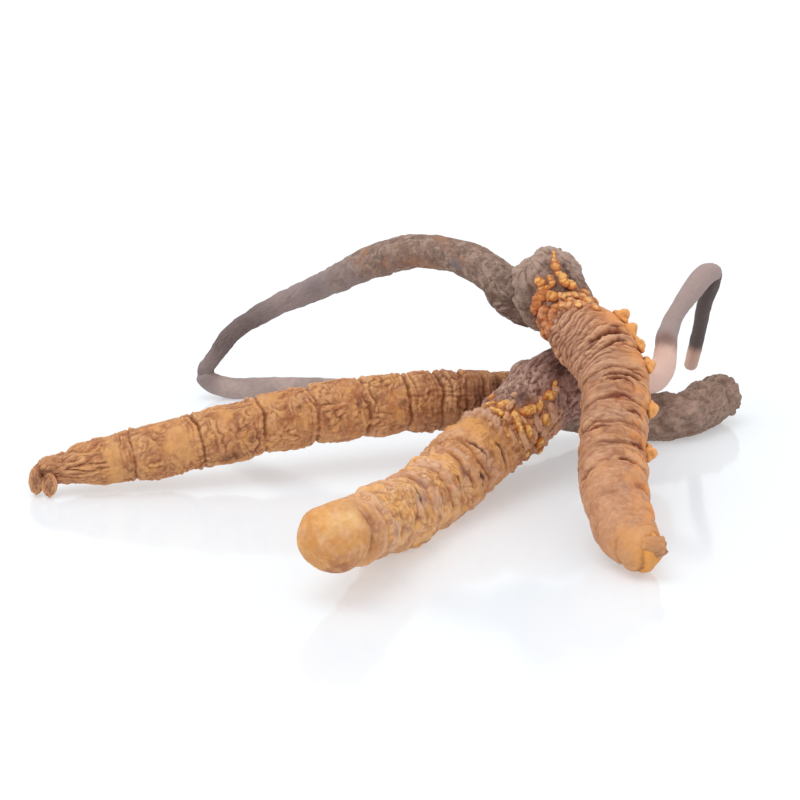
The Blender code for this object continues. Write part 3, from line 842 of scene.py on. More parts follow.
# How far a larva goes on inside the crust over its head, and how far the crust laps back over it
LARVA_END = 1.4
CRUST_LAP = 0.8
# The tone of the fine dark specks on every larva
SPECKLE = (126, 74, 48)
WORLD_AXES = ((1.0, 0.0, 0.0), (0.0, 1.0, 0.0), (0.0, 0.0, 1.0))

# The lobes that hang from the left tail, centre and half size, and the hood above them
CLASPERS = (((-35.12, -11.4, 1.5), (0.78, 0.85, 1.45)), ((-33.85, -12.0, 1.3), (0.76, 0.75, 1.22)))
HOOD_CENTRE = np.array((-33.9, -10.9, 2.75))
HOOD_SIZE = (1.5, 1.15, 1.0)
HOOD_TILT = math.radians(22)
# The rounded corner where the right stalk turns back
STALK_CORNER = (-20.4, 18.35, 2.9)
STALK_CORNER_SIZE = (0.9, 0.85, 1.0)


def left_larva():
    """The ringed body at the back, with its shrivelled tail at the left."""
    skin = Skin(LEFT, 0.0, LEFT_SEAM + LARVA_END, SKIN_SPACING, 0.8, 1.0)
    points = skin.unrolled
    amber = np.maximum(skin.patch(6.4, 10, 1.1, 6.0), skin.patch(12.6, 20, 1.9, 3.0))
    amber = np.maximum(amber, 0.6 * skin.patch(23.6, 150, 2.2, 3.0))
    amber = ramp(amber + 0.4 * layered(points, 1.4, 3), 0.25, 1.0)
    raise_left(skin, amber)
    skin.mask("amber", amber)
    # The far end is browner, and darker with painted shadow where it lies by the middle larva's head
    skin.mask("brown", skin.past(33.0, 43.0, 3 * ripple(points, 2.5, 13)))
    skin.blot("golden", (1.3, 1.0), 17, 0.05, 0.55)
    skin.blot("rust", (1.5, 1.1), 14, 0.1, 0.6)
    skin.blot("violet", 1.3, 9, 0.5, 0.85, 0.5)
    skin.mask("tail", 1 - skin.past(1.0, 3.0))
    skin.spots("spot", [(30.4, 23, 0.3, 0.34), (35.1, 18, 0.3, 0.34), (24.7, 37, 0.3, 0.34)], 0.7)
    # Umber spots; the two near the head are painted shade beside the middle larva's collar
    skin.spots("umber", [(17.3, -38, 0.9, 0.6), (42.8, 24, 1.0, 1.6), (44.6, 42, 0.9, 1.4)])
    skin.mask("ochre", skin.patch(45.0, 78, 1.7, 1.5) * skin.broken(0.8, 0.8, 0.8, 18))
    return [skin.shell()] + left_claspers()


def raise_left(skin, amber):
    """The folds of the left larva, with rings across them and a shrivelled tail."""
    points = skin.unrolled
    wobble = winding(skin, (0.36, (9.0, 2.4), 1), (0.10, (4.0, 1.5), 2))
    # Smooth amber stretches have fewer lumps than the rest
    lumpy = ramp(0.7 + 0.8 * ripple(points, (3.0, 2.4), 10), 0.1, 0.9) * (1 - 0.8 * amber)
    tail = 1 - skin.past(4.6, 6.2)
    body = 1 - tail
    # Where the folds run along the body, and where they run across it
    crossing = ramp(ripple(points, 3.2, 15), -0.25, 0.25)
    skin.height += 0.10 * layered(points, 4.0, 4, 2) - 0.14
    add_swells(skin, LEFT_SEGMENTS, wobble, 0.14, 0.26)
    add_billows(
        skin,
        ((2.4, 0.62), 0.46, 5, tail, 0.8, 0.8, 0.9),
        ((1.2, 0.4), 0.16, 12, tail, 0.8, 0.8, 0.5),
        ((1.7, 0.8), 0.38, 6, lumpy * body * crossing, 0.8, 0.8, 0.95),
        ((0.8, 1.3), 0.38, 16, lumpy * body * (1 - crossing), 0.8, 0.8, 0.95),
        ((0.65, 0.55), 0.14, 7, (0.3 + 0.7 * lumpy) * body, 0.9, 1.0, 0.5),
        (0.4, 0.03, 11),
        ((0.34, 1.8), 0.06, 8, body),
    )
    upper = 0.5 + 0.5 * skin.facing(65, 50)
    add_rings(skin, LEFT_RINGS, wobble, 20, upper, 0.05)
    skin.height -= 0.25 * skin.past(LEFT_SEAM - 0.5, LEFT_SEAM + 0.5)
    skin.shade(0.2, 0.09, 0.6)
    skin.shade(0.45, 0.2, 0.8)


def left_claspers():
    """The two lobes hanging from the tail, curled in at the front, and the hood above them."""
    shells = []
    for index, (centre, size) in enumerate(CLASPERS):
        shape = {"level": 5, "rough": 0.08, "grain": 0.9}
        lobe = blob(np.array(centre), WORLD_AXES, size, {"tail": 0.5}, 60 + index, **shape)
        local = (lobe.points - np.array(centre)) / np.array(size)
        dent = np.exp(-((local[:, 0] / 0.42) ** 2 + (local[:, 2] / 0.62) ** 2)) * (local[:, 1] < 0)
        lobe.points[:, 1] += 0.42 * dent
        wrinkle = np.abs(ripple(bent(lobe.points, 0.8, 0.2, 64), (0.35, 0.35, 1.1), 62 + index))
        lobe.points += 0.14 * (wrinkle - 0.3)[:, None] * local
        lobe.masks["violet"] = ramp(dent, 0.25, 0.8)
        # Painted shade in the wrinkles, and painted highlights towards the lobe's left and right sides
        lobe.masks["crease"] = 0.8 * (1 - ramp(wrinkle, 0.0, 0.2))
        lobe.masks["ridge"] = ramp(np.abs(local[:, 0]), 0.45, 0.9) * (1 - lobe.masks["crease"])
        shells.append(lobe)
    level = math.cos(HOOD_TILT)
    rise = math.sin(HOOD_TILT)
    axes = ((level, 0, rise), (0, 1, 0), (-rise, 0, level))
    hood = blob(HOOD_CENTRE, axes, HOOD_SIZE, {"tail": 0.3}, 66, level=5, rough=0.10, grain=0.9)
    wrinkle = np.abs(ripple(bent(hood.points, 0.8, 0.25, 67), (1.4, 0.45), 68))
    hood.points += 0.18 * (wrinkle - 0.3)[:, None] * (hood.points - HOOD_CENTRE)
    # Painted shade in the hood's wrinkles
    hood.masks["crease"] = np.maximum(hood.masks["crease"] * 0.6, 0.9 * (1 - ramp(wrinkle, 0.0, 0.22)))
    shells.append(hood)
    # Painted shade in the hollow between the lobes and the hood
    for shell in shells:
        aside = (shell.points[:, 0] + 34.45) / 0.45
        rise = (shell.points[:, 2] - 2.3) / 0.5
        shell.masks["umber"] = np.exp(-(aside**2) - rise**2)
    return shells


def middle_larva():
    """The body that points at the viewer, its tail a smooth dome."""
    skin = Skin(MIDDLE, 0.0, MIDDLE_SEAM + LARVA_END, SKIN_SPACING, 2.8, 1.0)
    points = skin.unrolled
    front = 1 - skin.past(3.5, 10.0, 1.5 * ripple(points, 3.0, 120))
    body = 1 - front
    # The rim of the dome lies along this fold, on the low side that faces the viewer
    low = skin.facing(8, 48, 4)
    fold = skin.run + 0.4 * ripple(points, 1.8, 121)
    raise_middle(skin, body, low, fold)
    skin.mask("amber", front * (0.75 + 0.6 * layered(points, 1.6, 113)))
    skin.blot("golden", (1.8, 1.4), 122, -0.2, 0.4)
    skin.mask("honey", 1.2 * skin.patch(31.8, 92, 1.5, 3.4) * skin.broken(0.8, 0.8, 0.9, 124))
    skin.mask("honey", skin.patch(35.6, 90, 1.0, 1.8) * skin.broken(0.8, 0.8, 0.7, 125))
    skin.mask("neck", skin.past(24.0, 31.0, 1.5 * ripple(points, 2.0, 123)))
    # Painted highlight on the upper side of the dome
    skin.mask("glow", skin.patch(1.7, 55, 1.5, 1.1) * (0.8 + 0.7 * layered(points, 1.2, 114)))
    # Painted shade in the groove round the dome and on the dome's underside
    rim = bell(fold, 5.0, 1.2) * low + skin.patch(1.6, -55, 1.8, 2.8) * 0.8
    skin.mask("rim", rim * skin.broken(0.75, 0.7, 1.8, 109))
    skin.mask("pinkish", bell(fold, 6.6, 1.2) * 0.8)
    skin.spots("violet", [(16.8, 38, 1.0, 0.9), (26.5, 36, 0.9, 0.8), (18.8, 60, 0.7, 0.7)])
    moles = ((11.1, 22), (26.4, 36), (22.4, 49), (15.0, 8), (31.0, 30))
    skin.spots("spot", [(run, degrees, 0.34, 0.4) for run, degrees in moles], 0.8)
    skin.blot("violet", 1.8, 110, 0.5, 0.9, 0.5 * body)
    skin.blot("pinkish", 1.5, 115, 0.15, 0.65)
    skin.blot("mottle", 0.8, 126, 0.15, 0.6, body)
    skin.blot("rust", 1.7, 116, 0.2, 0.7, body)
    stain_round(skin, MIDDLE_BEADS)
    shells = [skin.shell()]
    shells += beads(skin, between(MIDDLE_BEADS, 0.0, MIDDLE_SEAM), 140)
    shells += flaps(skin, between(MIDDLE_FLAPS, 0.0, MIDDLE_SEAM), 170)
    shells += fibres(skin, 50, 180, (32.8, 34.4), (60, 135), 90, 1.2, {"pale": 1.0}, 0.16)
    return shells


def raise_middle(skin, body, low, fold):
    """The swollen segments of the middle larva, past its smooth dome."""
    wobble = winding(skin, (0.8, (9.0, 3.2), 101), (0.25, (4.0, 1.2), 112))
    skin.height += 0.22 * layered(skin.unrolled, 3.8, 102, 2)
    add_swells(skin, MIDDLE_SEGMENTS, wobble, 0.20)
    add_billows(
        skin,
        ((2.4, 2.2), 0.34, 103, 0.1 + 0.9 * body, 0.5, 1.1),
        ((1.2, 1.1), 0.20, 104, body, 0.5, 1.0, 0.5),
        ((0.5, 0.6), 0.12, 105, 0.1 + 0.9 * body, 0.6, 1.0, 0.4),
        (0.36, 0.03, 111),
    )
    # A sharp step underneath, where one segment overlaps the next
    step = skin.run + wobble - MIDDLE_STEP
    under = skin.facing(-30, 50)
    skin.height += 0.5 * crest(step, 1.6, 0.15) * under
    skin.height -= 0.45 * bell(fold, 4.7, 0.4) * low
    skin.height += 0.22 * bell(fold, 6.4, 0.8) * low
    add_rings(skin, MIDDLE_RINGS, wobble, 120, 1.0, 0.02)
    add_gashes(skin, MIDDLE_GASHES, 130)
    add_collar(skin)
    skin.height -= 0.25 * skin.past(MIDDLE_SEAM - 0.3, MIDDLE_SEAM + 0.7)
    skin.shade(0.2, 0.12, 0.4)
    skin.shade(0.6, 0.34, 0.65)


def add_collar(skin):
    """The ragged flap of skin round the top of the middle larva's neck, and the torn head past it."""
    points = skin.unrolled
    around = skin.facing(92, 48, 4)
    edge = skin.run - COLLAR_EDGE + 0.5 * ripple(points, 0.9, 106) + 0.3 * ripple(points, 0.35, 107)
    skin.height += 0.85 * crest(edge, 0.4, 0.12) * around
    skin.height -= 0.35 * bell(edge, 0.6, 0.4) * around
    skin.slide += 0.45 * crest(edge, 0.3, 0.12) * around
    skin.mask("pale", bell(edge, -0.15, 0.35) * around)
    head = skin.past(34.4, 35.6, 0.8 * ripple(points, 1.5, 117))
    add_billows(
        skin,
        ((1.2, 0.7), 0.6, 108, head, 1.0),
        ((0.6, 0.35), 0.25, 118, head, 1.0),
    )
    low = skin.facing(4, 34)
    skin.mask("stain", head * (1 - low) * skin.broken(0.75, 0.5, 1.3, 119))


def stain_round(skin, places):
    """Stains the surface round the beads, so that they stand on rusty ground."""
    hollows = [(run, degrees, length * 1.5, width * 2.0) for run, degrees, length, width, _ in places]
    skin.spots("rusty", hollows, 1.2)


def laid(skin, run, degrees, lift, turn):
    """A place on the skin, with the directions of a lump that lies there, turned on the spot."""
    centre, along, across, out = skin.place(run, degrees, lift)
    turn = math.radians(turn)
    forward = along * math.cos(turn) + across * math.sin(turn)
    return centre, (forward, np.cross(out, forward), out)


def between(places, low, high):
    """The beads or flaps that stand on this stretch of the body."""
    return [place for place in places if low < place[0] < high]


def beads(skin, places, seed):
    """Furrowed golden lumps in the rows that the legs stand in, with a painted highlight on top and
    painted shade making them deep orange below.
    """
    random = np.random.default_rng(seed)
    shells = []
    for index, (run, degrees, length, width, turn) in enumerate(places):
        centre, axes = laid(skin, run, degrees, -0.04, turn)
        forward, _, out = axes
        red = ramp(abs(degrees), 138, 155)
        thick = width * random.uniform(0.9, 1.1)
        size = ((1.25 + 0.15 * red) * length, (1.2 + 0.2 * red) * width, thick)
        bead = blob(centre, axes, size, {"bead": 1.0}, seed + index, 4, rough=0.16, grain=0.6, taper=0.14)
        ahead = (bead.points - centre) @ forward / 0.40 + random.uniform(0, 1)
        ahead = ahead + 0.9 * ripple(bead.points, 0.45, seed + index)
        furrow = np.abs(np.sin(0.5 * math.pi * ahead))
        bead.points += 0.14 * (furrow - 0.6)[:, None] * (bead.points - centre) / max(size)
        rise = (bead.points - centre) @ out / size[2] + 0.25 * ripple(bead.points, 0.4, seed + index)
        # The deep orange is partly the bead's own colour and partly painted shade on its underside
        deep = max(1.1 * red, random.uniform(-0.6, 0.8))
        bead.masks["deep"] = np.maximum(deep, 1 - ramp(rise, 0.2, 0.95))
        # Painted highlight on the top of the bead
        bead.masks["shine"] = ramp(rise, 0.7, 1.0) * (1 - 0.8 * red) * ramp(furrow, 0.3, 0.8)
        # Painted shade in the furrows
        bead.masks["crease"] = np.maximum(bead.masks["crease"], 0.7 * (1 - ramp(furrow, 0.05, 0.45)))
        shells.append(bead)
    return shells


def flaps(skin, places, seed):
    """Low tan folds of torn skin, lying between the beads."""
    shells = []
    for index, (run, degrees, length, width, turn) in enumerate(places):
        centre, axes = laid(skin, run, degrees, -0.02, turn)
        size = (1.3 * length, 1.3 * width, 0.7 * width)
        shape = {"rough": 0.3, "grain": 0.5, "taper": 0.2}
        shells.append(blob(centre, axes, size, {"flap": 1.0}, seed + index, **shape))
    return shells


def right_larva():
    """The pleated body that leans up on the middle one, with its legs showing."""
    skin = Skin(RIGHT, 0.9, RIGHT_SEAM + LARVA_END, RIGHT_SKIN_SPACING, 1.0, 1.0)
    upper = skin.past(23.0, 27.0)
    middle = skin.past(8.0, 14.0) * (1 - upper)
    left = skin.facing(160, 55)
    head = skin.past(33.7, 34.5, 0.6 * ripple(skin.unrolled, 1.2, 214))
    raise_right(skin, upper, middle, left, head)
    paint_right(skin, upper, middle, left, head)
    shells = [skin.shell()]
    shells += right_tail()
    shells += prolegs(skin, 240)
    shells += beads(skin, between(RIGHT_BEADS, 0.0, RIGHT_SEAM), 260)
    return shells


def raise_right(skin, upper, middle, left, head):
    """The pleats and gashes of the right larva."""
    wobble = winding(skin, (0.6, (9.0, 3.0), 201), (0.2, (4.0, 1.0), 213))
    lower = 1 - upper - middle
    skin.height += 0.12 * layered(skin.unrolled, 4.0, 202, 2)
    add_swells(skin, RIGHT_SEGMENTS, wobble, 0.14)
    skin.height -= 0.1
    # The left side of the upper body is drawn into close pleats
    pleated = upper * ramp(left, 0.1, 0.7) * (1 - skin.past(34.0, 35.5))
    add_wrinkles(skin, 1.1, 0.24, 203, pleated, 0.8)
    add_wrinkles(skin, 0.6, 0.21, 225, pleated, 1.0)
    add_billows(
        skin,
        ((0.5, 2.0), 0.22, 204, upper * (0.35 + 0.65 * left), 0.9, 1.0, 0.7),
        ((0.9, 2.4), 0.24, 219, upper * (1 - 0.6 * left), 0.9, 1.0, 0.6),
        ((0.95, 3.0), 0.20, 205, middle, 0.9, 0.8, 0.6),
        ((0.5, 1.5), 0.15, 206, 0.2 + 0.8 * middle, 0.8, 1.0, 0.5),
        ((1.6, 3.4), 0.16, 207, lower, 0.7),
        (0.36, 0.04, 208),
    )
    add_rings(skin, RIGHT_RINGS, wobble, 220, 1.0, 0.02)
    add_gashes(skin, RIGHT_GASHES, 230)
    # The tail is flat underneath, where it rests on the floor
    belly = skin.facing(250, 70) * (1 - skin.past(4.0, 7.0))
    skin.height -= 0.55 * belly
    skin.height -= 0.25 * head
    add_billows(skin, ((0.9, 0.6), 0.4, 215, head, 0.9))
    skin.height -= 0.2 * skin.past(RIGHT_SEAM - 0.3, RIGHT_SEAM + 0.7)
    skin.shade(0.17, 0.08, 0.65)
    skin.shade(0.45, 0.22, 0.8)


def paint_right(skin, upper, middle, left, head):
    """The masks of the right larva, orange on the side where its legs stand."""
    side = skin.facing(42, 36)
    skin.blot("orange", 1.3, 209, -0.5, 0.3, 1.3 * side)
    for run, degrees, _ in RIGHT_PROLEGS:
        skin.mask("orange", skin.patch(run, degrees + 18, 1.2, 2.2) * 1.3)
    umber = [(15.8, 60, 0.6, 0.9), (9.6, 70, 0.5, 0.8), (28.2, 84, 0.5, 1.4), (21.2, 98, 0.6, 1.5)]
    skin.spots("umber", umber, 0.9)
    halfway = skin.past(12.0, 16.0) * (1 - skin.past(25.0, 28.0))
    skin.mask("dusk", halfway * (1 - side) * skin.broken(0.75, 1.0, 1.6, 226))
    skin.mask("stain", head * skin.broken(0.75, 0.5, 1.1, 216))
    skin.blot("golden", (1.4, 1.8), 220, 0.05, 0.6, 1 - 0.6 * left)
    skin.blot("rust", 1.2, 217, -0.4, 0.5, left * skin.past(26.0, 34.0))
    skin.blot("rust", (1.0, 2.0), 221, 0.3, 0.8, upper + middle)
    skin.mask("pinkish", upper * left * skin.broken(0.8, 0.4, 1.4, 222))
    skin.mask("amber", (1 - skin.past(3.6, 5.2)) * skin.broken(0.9, 0.5, 1.2, 218))
    skin.mask("yolk", (1 - skin.past(2.0, 3.0)) * skin.broken(0.9, 0.3, 1.2, 223))
    stain_round(skin, RIGHT_BEADS)
    skin.mask("spot", skin.patch(12.5, 84, 0.2, 0.5))
    skin.blot("violet", 1.6, 210, 0.5, 0.9, 0.6)


def right_tail():
    """The blunt brown nub at the tail, squared off at its end, with a small point under it."""
    line = Centreline(RIGHT_NUB_LINE)
    nub = Skin(line, 0.0, line.length, 0.08, 0.4, 0.4)
    nub.height += 0.10 * layered(nub.unrolled, 1.2, 281)
    add_billows(nub, ((0.8, 0.5), 0.22, 282, 1.0, 0.8))
    nub.shade(0.3, 0.16, 0.7)
    nub.mask("tail", nub.past(0.2, 1.5, 0.4 * ripple(nub.unrolled, 0.8, 284)))
    nub.mask("amber", np.ones_like(nub.run))
    centre, along, across, out = nub.place(line.length - 0.3, -55, -0.25)
    shape = {"rough": 0.2, "grain": 0.4, "taper": 0.5}
    point = blob(centre, (along, across, out), (0.75, 0.42, 0.4), {"tail": 0.8}, 283, **shape)
    return [nub.shell(), point]


def prolegs(skin, seed):
    """Stubby orange legs: a cone leaning out of the skin with small lobes round its foot."""
    lobes = ((-0.55, 0.1, 0.06), (0.5, 0.2, 0.08), (0.0, -0.5, 0.0))
    shells = []
    for index, (run, degrees, height) in enumerate(RIGHT_PROLEGS):
        centre, along, across, out = skin.place(run, degrees, 0.05)
        lean = out + 0.35 * across + 0.25 * along * math.sin(index * 2.1)
        lean /= np.linalg.norm(lean)
        wide = np.cross(across, lean)
        wide /= np.linalg.norm(wide)
        axes = (lean, wide, np.cross(lean, wide))
        size = (height, 0.60 + 0.12 * height, 0.72)
        number = seed + index * 6
        masks = {"bead": 1.0, "leg": 1.0}
        shape = {"level": 4, "rough": 0.08, "grain": 0.8, "taper": 0.16, "foot": out}
        shells.append(blob(centre, axes, size, masks, number, **shape))
        for part, (ahead, aside, rise) in enumerate(lobes):
            spot = centre + along * ahead + across * aside + out * rise
            size = (0.5, 0.46, 0.36)
            masks = {"bead": 1.0, "leg": 0.5}
            axes = (along, across, out)
            shells.append(blob(spot, axes, size, masks, number + 1 + part, rough=0.08, grain=0.6))
    return shells


def crust_skin(line, seam, end, rounding, reach, seed):
    """The skin of a crust, which comes up out of the larva's in a ragged edge."""
    skin = Skin(line, seam - CRUST_LAP, end, STALK_SPACING, 0.0, rounding)
    ragged = 0.8 * ripple(skin.unrolled, 1.0, seed) + 0.5 * ripple(skin.unrolled, 0.45, seed + 1)
    skin.height += 0.15 - 0.9 * (1 - ramp(skin.run - seam + ragged * reach, -0.6, 0.5))
    return skin


def add_fuzz(skin, seed, where=1.0):
    """The lumpy felt of the fungus: soft swellings with finer and finer ones on them."""
    points = skin.unrolled
    skin.height += 0.20 * layered(points, 2.4, seed, 3) * where
    add_billows(
        skin,
        ((1.9, 1.4), 0.36, seed + 1, where, 0.9, 1.2),
        ((0.9, 0.6), 0.13, seed + 2, where, 0.9),
        ((0.45, 0.36), 0.05, seed + 3, where, 0.9),
    )
    add_grains(skin, 0.32, 0.05, seed + 4, where)
    skin.blot("mottle", (0.9, 0.7), seed + 5, 0.0, 0.6)
    skin.blot("dusk", (1.3, 1.0), seed + 6, 0.05, 0.65, where)


def left_stroma():
    """The crust past the left head, ending in a blunt knob."""
    skin = crust_skin(LEFT, LEFT_SEAM, LEFT.length, 1.8, 0.6, 301)
    add_fuzz(skin, 310)
    skin.height -= 0.5 * skin.past(66.0, 71.0)
    skin.height -= 0.35 * bell(skin.run, 71.0, 0.8) * ramp(np.sin(skin.angle), 0.2, 0.9)
    skin.shade(0.2, 0.12, 0.5)
    skin.shade(0.6, 0.30, 0.6)
    skin.blot("rust", 1.2, 305, 0.35, 0.9, 0.8)
    skin.blot("pink", 1.6, 306, 0.3, 0.8)
    return [skin.shell()] + fibres(skin, 60, 320, (53.0, 74.0), (-60, 240), 0)


def middle_stroma():
    """The crust over the middle head and its thin stalk, folded over once."""
    skin = crust_skin(MIDDLE, MIDDLE_SEAM, MIDDLE.length - 0.45, 0.4, 0.8, 401)
    points = skin.unrolled
    crusty = 1 - skin.past(53.0, 57.0)
    add_fuzz(skin, 410, crusty)
    add_billows(skin, ((1.8, 0.9), 0.22, 403, crusty, 0.9))
    low = skin.facing(0, 50, 4)
    torn = low * (1 - skin.past(41.4, 43.4, 0.8 * ripple(points, 1.2, 413)))
    add_billows(skin, ((0.9, 0.5), 0.28, 414, torn, 0.9))
    skin.mask("tan", torn)
    add_billows(skin, ((1.4, 0.4), 0.06, 405, 1 - crusty))
    skin.height -= 0.14 * bell(skin.run, 60.0, 2.0)
    skin.height += 0.16 * skin.patch(63.2, 110, 0.7, 0.9)
    # The stalk is slimmer on the right of its bulb and on top of its fold
    slim = skin.facing(-20, 60) * skin.past(55.0, 59.0) * (1 - skin.past(66.0, 69.0))
    skin.height -= 0.28 * slim
    above = skin.facing(90, 55)
    skin.height -= 0.5 * above * skin.past(72.0, 74.5)
    skin.shade(0.2, 0.10, 0.8)
    skin.shade(0.6, 0.26, 0.7)
    stain = skin.patch(39.7, 62, 1.0, 1.3) + skin.patch(45.5, 62, 1.4, 1.0)
    skin.mask("stain", stain + skin.patch(41.4, 28, 0.8, 0.8))
    skin.blot("pale", (1.4, 0.5), 411, -0.3, 0.5, skin.patch(41.5, 105, 3.2, 2.4))
    skin.blot("pink", 1.4, 412, 0.1, 0.7, crusty)
    skin.mask("bulb", skin.past(54.5, 57.0) * (1 - skin.past(61.0, 63.0)))
    skin.mask("mauve", skin.past(61.6, 63.4))
    skin.mask("spot", skin.patch(62.8, 62, 0.55, 0.9) * 0.8)
    stain_round(skin, MIDDLE_BEADS)
    shells = [skin.shell(), middle_folded_end()]
    shells += beads(skin, between(MIDDLE_BEADS, MIDDLE_SEAM, math.inf), 440)
    shells += flaps(skin, between(MIDDLE_FLAPS, MIDDLE_SEAM, math.inf), 480)
    shells += fibres(skin, 90, 420, (38.6, 46.0), (84, 150), 12, 1.9)
    shells += fibres(skin, 40, 421, (40.0, 52.0), (-30, 80), 10)
    return shells


def middle_folded_end():
    """The end of the middle stalk, which hangs from its fold: painted dark with shade, with a pale tip.
    """
    fold = Skin(MIDDLE_FOLD, 0.0, MIDDLE_FOLD.length, STALK_SPACING, 0.5, 0.5)
    add_billows(fold, ((1.4, 0.4), 0.08, 406))
    fold.height -= 0.36 * np.cos(fold.angle) * bell(fold.run, 3.6, 2.2)
    fold.height += 0.08 * fold.past(2.0, 5.0)
    # The hanging end is painted dark as shade
    fold.mask("dark", 1 - fold.past(8.6, 10.2))
    fold.mask("tip", fold.past(8.8, 10.2))
    return fold.shell()


def right_stroma():
    """The crust knob over the right head, with its stalk."""
    knob = crust_skin(RIGHT, RIGHT_SEAM, RIGHT.length, KNOB_ROUNDING, 0.6, 501)
    add_fuzz(knob, 510)
    right_side = knob.facing(35, 45)
    knob.height -= 0.55 * right_side * knob.past(37.0, 39.0)
    left_side = knob.facing(170, 36)
    knob.height -= 0.85 * left_side * knob.past(36.8, 39.5)
    knob.shade(0.2, 0.10, 0.7)
    knob.shade(0.6, 0.26, 0.7)
    # Hollows among the beads on the knob, darkened with painted shade
    hollow = knob.patch(38.6, 122, 0.9, 1.4) + knob.patch(37.9, 84, 1.2, 0.8)
    hollow = hollow + knob.patch(39.6, 92, 1.0, 0.5)
    hollow = hollow + 0.8 * knob.patch(37.0, 118, 0.5, 2.4) + 0.8 * knob.patch(40.4, 120, 0.9, 0.5)
    knob.height -= 0.25 * np.clip(hollow, 0.0, 1.0)
    knob.mask("stain", 0.8 * hollow * knob.broken(0.8, 0.9, 0.8, 518))
    knob.blot("pink", 1.4, 511, 0.1, 0.7)
    knob.mask("knob", knob.past(37.5, 40.0, ripple(knob.unrolled, 1.6, 517)))
    knob.mask("rusty", knob.patch(36.4, 160, 1.6, 2.0))
    knob.mask("shadow", left_side * knob.past(36.0, 38.0))
    # Painted shadow on the knob's left flank, beside the stalk
    flank_shadow = knob.patch(38.4, 182, 1.9, 1.5) * knob.broken(0.9, 0.7, 0.9, 519)
    knob.mask("stain", 0.6 * flank_shadow)
    stain_round(knob, RIGHT_BEADS)
    shells = [knob.shell()]
    shells += right_stalk()
    shells += beads(knob, between(RIGHT_BEADS, RIGHT_SEAM, math.inf), 540)
    shells += fibres(knob, 60, 520, (37.4, 43.0), (-20, 240), 10, 1.2)
    return shells


def right_stalk():
    """The long stalk that leaves the knob, arches over and folds back along the floor."""
    stalk = Skin(RIGHT_STALK, 0.0, RIGHT_STALK.length, STALK_SPACING, 0.6, 0.6)
    points = stalk.unrolled
    crusty = 1 - stalk.past(5.0, 9.0)
    stalk.height += 0.12 * layered(points, 2.4, 505, 3) - 0.16 * stalk.past(33.0, 42.0)
    add_fuzz(stalk, 530, crusty)
    add_billows(
        stalk,
        ((1.8, 0.7), 0.12, 508, 1 - crusty, 0.9),
        ((0.7, 0.3), 0.05, 509, 1 - crusty, 0.9),
    )
    # Pits near the knob, darkened with painted shade
    for run, degrees in ((2.4, -177), (3.2, 128), (3.6, 104)):
        pit = stalk.patch(run, degrees, 0.5, 0.6)
        stalk.height -= 0.35 * pit
        stalk.mask("stain", pit)
    # The groove between the knob and the stalk, darkened with painted shade
    junction = bell(stalk.run, 2.3, 1.1) * stalk.facing(120, 75)
    stalk.height -= 0.9 * junction
    stalk.mask("stain", 0.75 * junction)
    stalk.shade(0.2, 0.10, 0.7)
    stalk.shade(0.6, 0.26, 0.7)
    mottle = ramp(layered(points, (2.0, 1.4), 512), -0.1, 0.8)
    stalk.mask("rust", mottle * stalk.past(8, 12) * (1 - stalk.past(24, 29)))
    stalk.mask("rust", stalk.patch(17.4, -140, 2.2, 1.0) * 0.9)
    stalk.mask("slate", stalk.patch(11.5, -172, 0.9, 0.7))
    stalk.mask("mauve", stalk.past(24.0, 32.0, 2.5 * ripple(points, 3.0, 513)))
    stalk.mask("slate", stalk.patch(33.0, 178, 1.4, 0.9) * 0.8)
    stalk.mask("dark", stalk.past(37.0, 42.0) * (1 - 0.6 * stalk.past(45.5, 47.5)) * 0.85)
    stalk.mask("shadow", 1 - stalk.past(3.0, 8.0))
    fold = Skin(RIGHT_FOLD, 0.0, RIGHT_FOLD.length, STALK_SPACING, 0.6, 0.6)
    add_billows(fold, ((1.8, 0.6), 0.10, 514))
    fold.mask("mauve", np.ones_like(fold.run))
    fold.mask("warm", fold.past(1.0, 3.5) * fold.broken(0.7, 0.5, 2.0, 515))
    shades = {"mauve": 1.0, "dark": 0.5}
    corner = blob(np.array(STALK_CORNER), WORLD_AXES, STALK_CORNER_SIZE, shades, 516, level=4, rough=0.05)
    # No painted shade on the corner
    corner.masks["crease"] *= 0.0
    shells = [stalk.shell(), fold.shell(), corner]
    shells += fibres(stalk, 50, 521, (1.0, 8.0), (60, 300), 0, 1.2)
    return shells


# Tones seen on screen: dark, middle and light. Then the tint of each mask in the order they are
# laid on, with its strength and how far noise breaks it up. The tints of creases, gashes and the
# dome's rim are painted shade, those of ridges, bead tops and the top of the dome painted
# highlights, and the left larva's far end, the umber spots, the stains and the beads' deep orange
# are partly painted shade.
LEFT_SKIN_TONES = ((178, 112, 68), (208, 146, 94), (236, 184, 132))
LEFT_SKIN_TINTS = [
    ("golden", (224, 162, 92), 0.6, 0.4), ("rust", (168, 98, 58), 0.6, 0.5),
    ("violet", (160, 124, 108), 0.7, 0.5), ("amber", (224, 166, 104), 0.6, 0.4),
    ("brown", (136, 76, 48), 0.68, 0.3), ("ochre", (204, 148, 88), 0.75, 0.4),
    ("tail", (184, 128, 98), 0.6, 0.4), ("lip", (226, 174, 122), 0.4, 0.4),
    ("ridge", (240, 190, 140), 0.5), ("umber", (104, 56, 34), 0.85, 0.5), ("spot", (92, 54, 40)),
    ("crease", (104, 54, 30), 0.85),
]
MIDDLE_SKIN_TONES = ((216, 152, 98), (238, 182, 123), (250, 212, 162))
